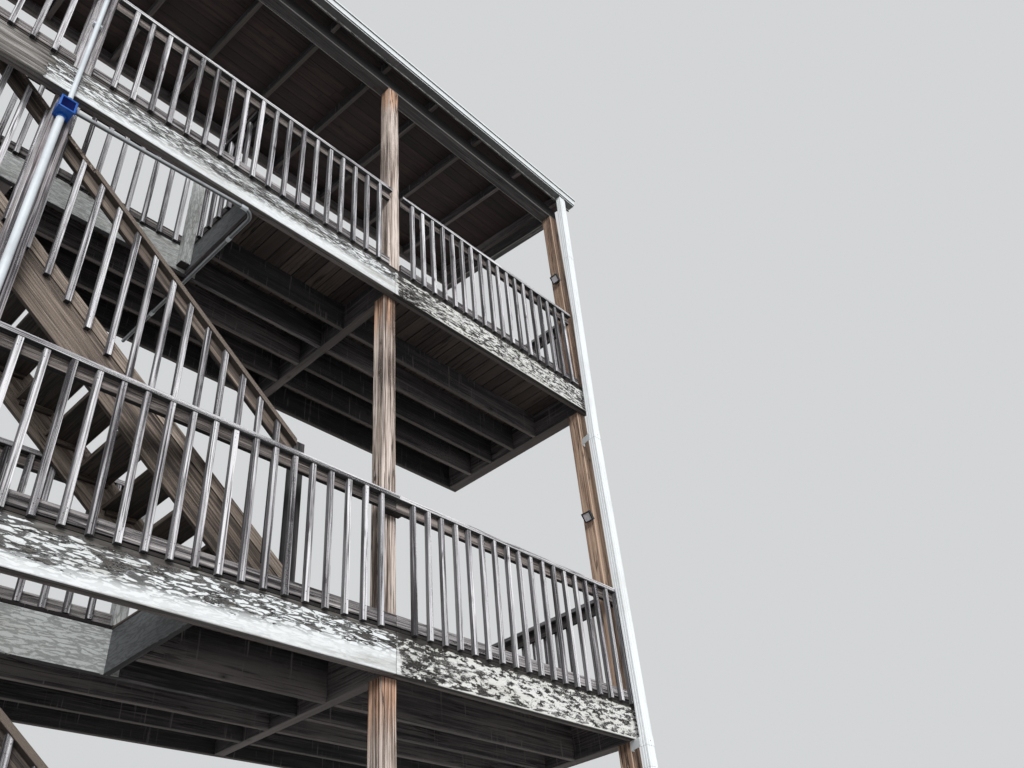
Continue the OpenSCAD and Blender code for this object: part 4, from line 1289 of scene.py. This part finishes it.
class STAIR_OT_downspout(Operator):
    """Ribbed downspout with its outlet, joint sleeves and straps to the end post"""
    bl_idname = "stair.downspout"
    bl_label = "Downspout"

    def ring(self, name, width, depth, centre, z0, rises, thickness):
        """A hollow rectangular tube with rounded corners and two grooves down each face"""
        middle = (*centre, z0)
        piece = start("plane", name, "white_sheet", size=1, location=middle)
        edit(piece)
        select_all()
        bpy.ops.transform.resize(value=(width, depth, 1), center_override=middle)
        bpy.ops.mesh.delete(type="ONLY_FACE")
        select_all()
        bpy.ops.mesh.subdivide(number_cuts=11)
        half = (width / 2, depth / 2)

        def off(vert, axis, place):
            return abs(abs(vert.co[axis] - centre[axis]) - place)

        pick(piece, "verts", lambda v: off(v, 0, half[0]) < 1e-5 and off(v, 1, half[1]) < 1e-5)
        bpy.ops.mesh.bevel(offset=0.006, segments=2, affect="VERTICES")
        for axis, other in ((0, 1), (1, 0)):
            pick(piece, "verts", lambda v: off(v, other, half[other]) < 1e-5
                 and off(v, axis, half[axis] / 3) < half[axis] * 0.05)
            scale = [1, 1, 1]
            scale[other] = 1 - 0.003 / half[other]
            bpy.ops.transform.resize(value=scale, center_override=middle)
        select_all()
        for vector in rises:
            draw_out(vector)
        select_all()
        bpy.ops.mesh.normals_make_consistent(inside=False)
        done()
        apply_modifier(piece, "SOLIDIFY", thickness=thickness, offset=-1)
        return piece

    def execute(self, context):
        metal = context.scene.stair_metal
        low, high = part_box("downspout")
        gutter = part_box("gutter")
        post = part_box("end_post_right")[0]
        width, depth, wall = metal.spout_width, metal.spout_depth, metal.spout_wall
        # The sleeves and straps reach the CAD box, and the pipe clears the guard's cap by 8 mm
        x = high.x - 0.003 - width / 2
        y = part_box("lower_guard_right")[0].y - 0.008 - depth / 2
        lean_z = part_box("upper_rim")[0].z - metal.lean_drop
        lean = Vector((0, gutter[1].y - metal.gutter_foot / 2 - y, gutter[0].z - lean_z))

        def middle(z):
            """The pipe's y at a height: plumb at first, then leaning towards the gutter"""
            return y + lean.y * max(0.0, z - lean_z) / lean.z

        # The outlet reaches down into the pipe, which ends a neck's length under the gutter
        neck, outlet = metal.spout_neck, metal.spout_neck * 1.6
        outlet_z = gutter[0].z - outlet
        parts = [
            self.ring("downspout_pipe", width, depth, (x, y), low.z,
                      [(0, 0, lean_z - low.z), lean * (1 - neck / lean.z)], wall),
            self.ring("downspout_outlet", width - 0.012, depth - 0.012, (x, middle(outlet_z)), outlet_z,
                      [lean * (outlet / lean.z)], wall)]
        tall = metal.sleeve_height
        for z in (metal.lower_joint, lean_z, metal.upper_joint):
            z0, z1 = z - tall / 2, z + tall / 2
            parts.append(self.ring(
                "downspout_sleeve", width + 0.003, depth + 0.003, (x, middle(z0)), z0,
                [(0, middle(z1) - middle(z0), tall)], 0.0012))
        for z in (metal.lowest_strap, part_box("lower_rim")[0].z - 0.08, lean_z - metal.strap_height):
            parts += self.strap(metal, x, middle(z), z, post.x)
        show(join(parts, "downspout_sheet"), "white_sheet", "downspout")
        return {"FINISHED"}

    def strap(self, metal, x, y, z, post):
        """A band round the pipe and a leg to the post, with its screws; post is the post's left side"""
        width, depth, tall = metal.spout_width + 0.004, metal.spout_depth + 0.004, metal.strap_height
        band = self.ring("downspout_strap", width, depth, (x, y), z, [(0, 0, tall)], metal.spout_wall)
        left, back, seat = x - width / 2, y + depth / 2, -0.0715
        leg = folded_sheet(
            "downspout_leg", "white_sheet", tall,
            [(-left, back - 0.012), (-left, back), (-post - 0.001, seat), (-post - metal.strap_foot, seat)],
            0.002, Matrix(((0, -1, 0, 0), (0, 0, 1, 0), (1, 0, 0, z), (0, 0, 0, 1))))
        screws = [(post + metal.strap_foot * s, seat - 0.001, z + tall / 2) for s in (0.35, 0.75)]
        screws.append((x, y - depth / 2 - 0.001, z + tall / 2))
        return [band, leg, *nail_heads(screws, metal.strap_screw, -Y)]


class STAIR_OT_conduits(Operator):
    """Riser, upper conduit and branch with couplings and two-ear clamps"""
    bl_idname = "stair.conduits"
    bl_label = "Conduits"

    # Heights of the clamps over the floor
    riser_clamps = (0.4, 1.2)
    upper_clamps = (0.565, 2.0)

    def clamp(self, metal, radius, x, y, face, z):
        """A strap with an ear on each side of a pipe, a block behind it and two screws"""
        ear, tall = 0.014, 0.020
        half = [(-radius - ear, 0.0), (-radius, 0.0)]
        half += [(-radius * math.cos(a), -radius * math.sin(a)) for a in np.linspace(0.3, math.pi / 2, 5)]
        line = half + [(-px, py) for px, py in reversed(half[:-1])]
        place = Matrix(((0, 1, 0, x), (0, 0, 1, y), (1, 0, 0, z), (0, 0, 0, 1)))
        parts = [folded_sheet("clamp_strap", "conduit", tall, line, 0.002, place)]
        if face - y > radius + 0.002:
            back = block("clamp_block", "conduit", (x - radius - ear, y + 0.0015, z),
                         (x + radius + ear, face, z + tall))
            wear_edges(back, 0.002)
            parts.append(back)
        screws = [(x + side * (radius + ear * 0.5), y - 0.001, z + tall / 2) for side in (-1, 1)]
        return parts + nail_heads(screws, metal.clamp_screw, -Y)

    def execute(self, context):
        metal = context.scene.stair_metal
        low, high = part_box("junction_box")
        lines = solid_boxes("conduits")
        riser_box, upper_box = sorted((box for box in lines if box[1].x < high.x), key=lambda box: box[0].z)
        branch_box = max(lines, key=lambda box: box[1].x)
        r, c, b = metal.riser / 2, metal.conduit / 2, metal.branch / 2
        rim, post_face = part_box("upper_rim")[0].y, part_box("lower_guard_left")[1].y
        # The upper post's face stands 63 mm behind the front of the guard's cap
        upper_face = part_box("upper_guard_left")[0].y + 0.063
        x, riser_y, upper_y = (low.x + high.x) / 2, post_face - r, rim - c
        foot, head = riser_box[0].z, upper_box[0].z

        parts = [
            tube("riser", "conduit", r, (x, riser_y, foot), [("go", (0, 0, low.z - foot))]),
            collar("riser_coupling", "conduit", r + 0.004, (x, riser_y, foot + 0.15),
                   (x, riser_y, foot + 0.225)),
            tube("upper_conduit", "conduit", c, (x, upper_y, head),
                 [("go", (0, 0, upper_box[1].z - head))]),
            collar("conduit_coupling", "conduit", c + 0.0035, (x, upper_y, head + 2.2),
                   (x, upper_y, head + 2.25))]
        for over in self.riser_clamps:
            parts += self.clamp(metal, r, x, riser_y, post_face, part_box("lower_deck")[1].z + over)
        for over in self.upper_clamps:
            parts += self.clamp(metal, c, x, upper_y, upper_face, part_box("upper_deck")[1].z + over)

        # The branch starts at the box's right hub, runs under the rim and bends to the back
        bend = metal.branch_bend
        begin = Vector((high.x - 0.01, rim + b, low.z + 0.08))
        corner = Vector((branch_box[1].x - b - bend, rim + 0.055, branch_box[1].z - b - 0.003))
        centre = corner + Vector((0, bend, 0))
        parts.append(tube("branch_run", "branch_pipe", b, begin, [("go", corner - begin)]))
        parts.append(tube("branch_bend", "branch_pipe", b, corner - 0.02 * X, [
            ("go", (0.02, 0, 0)), ("turn", centre, (0, 0, 1), math.pi / 2),
            ("go", (0, branch_box[1].y - centre.y, 0))]))
        parts.append(collar("branch_coupling", "conduit", b + 0.003, corner - 0.03 * X, corner + 0.03 * X))
        x, z = corner.x + bend, corner.z
        for y in (branch_box[1].y - 0.55, centre.y + 0.25):
            parts.append(collar("branch_coupling", "conduit", b + 0.003, (x, y, z), (x, y + 0.05, z)))
        show(join(parts, "conduit_lines"), "conduit", "conduits")
        return {"FINISHED"}


class STAIR_OT_junction_box(Operator):
    """Blue box with a lid, a recessed panel, hubs for the riser and the branch, and lid screws"""
    bl_idname = "stair.junction_box"
    bl_label = "Junction box"

    def execute(self, context):
        metal = context.scene.stair_metal
        low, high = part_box("junction_box")
        lip, lid = 0.004, 0.010
        body = block(
            "box_body", "blue_box", (low.x + lip, low.y + lid, low.z + lip), (high.x - lip, high.y, high.z))
        body.data.materials.append(finish_for("box_panel"))
        # The lid is wider than the body and its panel is recessed
        edit(body)
        pick(body, "faces", facing(-Y))
        draw_out((0, -0.0005, 0))
        wide, tall = high.x - low.x, high.z - low.z
        bpy.ops.transform.resize(value=(wide / (wide - 2 * lip), 1, (tall - 2 * lip) / (tall - lip)))
        draw_out((0, -lid + 0.0005, 0))
        bpy.ops.mesh.inset(thickness=0.013, depth=0)
        draw_out((0, 0.008, 0))
        # The recessed panel takes the darker blue: painted shade
        body.active_material_index = 1
        bpy.ops.object.material_slot_assign()
        done()
        wear_edges(body, 0.002, 2)
        smooth(body, 35)
        x, rim = (low.x + high.x) / 2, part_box("upper_rim")[0].y
        riser_y = high.y - metal.riser / 2
        parts = [body]
        hubs = (
            (metal.riser / 2 + 0.006, (x, riser_y, low.z - 0.022), (x, riser_y, low.z + 0.01)),
            (metal.branch / 2 + 0.005, (high.x - lip - 0.004, rim + metal.branch / 2, low.z + 0.08),
             (high.x + 0.014, rim + metal.branch / 2, low.z + 0.0825)))
        for radius, begin, end in hubs:
            parts.append(collar("box_hub", "blue_box", radius, begin, end))
        screws = [(x + sx * (wide / 2 - 0.008), low.y - 0.0005, low.z + (tall - lip) * t)
                  for sx in (-1, 1) for t in (0.07, 0.93)]
        parts += nail_heads(screws, metal.lid_screw, -Y)
        show(join(parts, "blue_junction_box"), "blue_box", "junction_box")
        return {"FINISHED"}


class STAIR_OT_flood_lights(Operator):
    """Two flood lights: foot, knuckle and arm, finned housing and a pale lens in a raised frame"""
    bl_idname = "stair.flood_lights"
    bl_label = "Flood lights"

    def lamp(self, metal, high_z, x, y):
        """One lamp on a post's side at x, y, with the top of its housing at high_z"""
        half, deep, tilt, reach = metal.lamp_width / 2, metal.lamp_depth, metal.lamp_tilt, metal.lamp_reach
        z = high_z - half * math.cos(tilt)
        foot = block(
            "lamp_foot", "lamp_black", (x - 0.018, y - 0.026, z - 0.026), (x, y + 0.026, z + 0.026))
        edit(foot)
        pick(foot, "faces", facing(-X))
        bpy.ops.mesh.inset(thickness=0.012, depth=0.004)
        done()
        wear_edges(foot, 0.004, 2)
        arm = tube("lamp_arm", "lamp_black", 0.008, (x - 0.012, y, z), [("go", (0.014 - reach, 0, 0))], 12)
        knuckle = collar("lamp_knuckle", "lamp_black", 0.012, (x - reach + 0.004, y - 0.018, z),
                         (x - reach + 0.004, y + 0.018, z))
        housing = block("lamp_housing", "lamp_black", (-deep, -half, -half), (0, half, half))
        housing.data.materials.append(finish_for("lamp_lens"))
        edit(housing)
        pick(housing, "faces", facing(X))
        bpy.ops.mesh.inset(thickness=0.014, depth=0)
        bpy.ops.transform.translate(value=(-0.010, 0, 0))
        pick(housing, "faces", facing(-X))
        bpy.ops.mesh.inset(thickness=half * 0.27, depth=0)
        draw_out((0.006, 0, 0))
        housing.active_material_index = 1
        bpy.ops.object.material_slot_assign()
        done()
        wear_edges(housing, 0.003, 2)
        # Fins that grow thinner towards their outer edge
        fin = block("lamp_fin", "lamp_black", (-0.012, -0.0012, -half * 0.8), (0, 0.0012, half * 0.8))
        edit(fin)
        pick(fin, "faces", facing(X))
        bpy.ops.transform.resize(value=(1, 0.6, 0.9))
        done()
        sides = np.linspace(-half * 0.7, half * 0.7, 9)
        fins = [copied(fin, Matrix.Translation((0, side, 0))) for side in sides]
        bpy.data.objects.remove(fin)
        head = join([housing, *fins], "lamp_head")
        turn = Matrix.Rotation(-tilt, 4, "Y")
        head.data.transform(Matrix.Translation((x - reach, y, z)) @ turn)
        screws = [(x - 0.0165, y + s * 0.019, z + s * 0.019) for s in (-1, 1)]
        return [head, foot, arm, knuckle, *nail_heads(screws, metal.lid_screw, -X)]

    def execute(self, context):
        metal = context.scene.stair_metal
        parts = []
        for low, high in solid_boxes("flood_lights"):
            parts += self.lamp(metal, high.z, high.x, (low.y + high.y) / 2)
        show(join(parts, "flood_light_pair"), "lamp_black", "flood_lights")
        return {"FINISHED"}


class STAIR_OT_stage(Operator):
    """Floor, soft light and the camera"""
    bl_idname = "stair.stage"
    bl_label = "Stage"

    def execute(self, context):
        stage = context.scene.stair_stage
        scene = context.scene
        bpy.ops.object.select_all(action="DESELECT")
        bpy.ops.mesh.primitive_plane_add(size=stage.floor_size, location=stage.floor_centre)
        floor = context.object
        floor.name = "floor"
        bpy.ops.object.transform_apply(location=True)
        finish = Finish("floor", 0.9)
        pale = (*stage.backdrop, 1)
        finish.put("Base Color", finish.mix(finish.seen(), (*stage.bounce, 1), pale))
        floor.data.materials.append(finish.material)

        scene.world = bpy.data.worlds.new("studio")
        studio = Tree(scene.world)
        even = studio.node("ShaderNodeBackground", {}, {"Strength": stage.sky})
        back = studio.node("ShaderNodeBackground", {}, {"Color": pale})
        blend = studio.node("ShaderNodeMixShader", {}, {0: studio.seen(), 1: even, 2: back})
        studio.node("ShaderNodeOutputWorld", {}, {"Surface": blend})

        for name in ("key", "fill"):
            lamp = bpy.data.lights.new(name, "SUN")
            lamp.energy = getattr(stage, name + "_light")
            lamp.angle = getattr(stage, name + "_spread")
            light = bpy.data.objects.new(name, lamp)
            toward = getattr(stage, name + "_toward")
            light.rotation_euler = Vector(toward).to_track_quat("-Z", "Y").to_euler()
            scene.collection.objects.link(light)

        lens = bpy.data.cameras.new("camera")
        lens.sensor_width = 36.0
        lens.lens = stage.lens
        camera = bpy.data.objects.new("camera", lens)
        camera.location = stage.camera_place
        camera.rotation_euler = Euler([math.radians(a) for a in stage.camera_turn], "XYZ")
        scene.collection.objects.link(camera)
        scene.camera = camera
        scene.view_settings.view_transform = "Standard"
        return {"FINISHED"}


class STAIR_PT_panel(Panel):
    """Lists the stair's pieces"""
    bl_label = "Fire Escape Stair"
    bl_space_type = "VIEW_3D"
    bl_region_type = "UI"
    bl_category = "Stair"

    def draw(self, context):
        for operator in OPERATORS:
            self.layout.operator(operator.bl_idname)


OPERATORS = (
    STAIR_OT_stage, STAIR_OT_frames, STAIR_OT_decks, STAIR_OT_guards, STAIR_OT_flights, STAIR_OT_roof,
    STAIR_OT_gutter, STAIR_OT_downspout, STAIR_OT_conduits, STAIR_OT_junction_box, STAIR_OT_flood_lights)
GROUPS = {
    "stair_timber": StairTimber, "stair_metal": StairMetal, "stair_colours": StairColours,
    "stair_stage": StairStage}


def register():
    for cls in (*GROUPS.values(), *OPERATORS, STAIR_PT_panel):
        bpy.utils.register_class(cls)
    for name, group in GROUPS.items():
        setattr(bpy.types.Scene, name, PointerProperty(type=group))


def unregister():
    for name in GROUPS:
        delattr(bpy.types.Scene, name)
    for cls in (STAIR_PT_panel, *reversed(OPERATORS), *GROUPS.values()):
        bpy.utils.unregister_class(cls)


def main():
    """Builds the stair"""
    register()
    for operator in OPERATORS:
        getattr(bpy.ops.stair, operator.bl_idname.split(".")[1])()


if __name__ == "__main__":
    main()
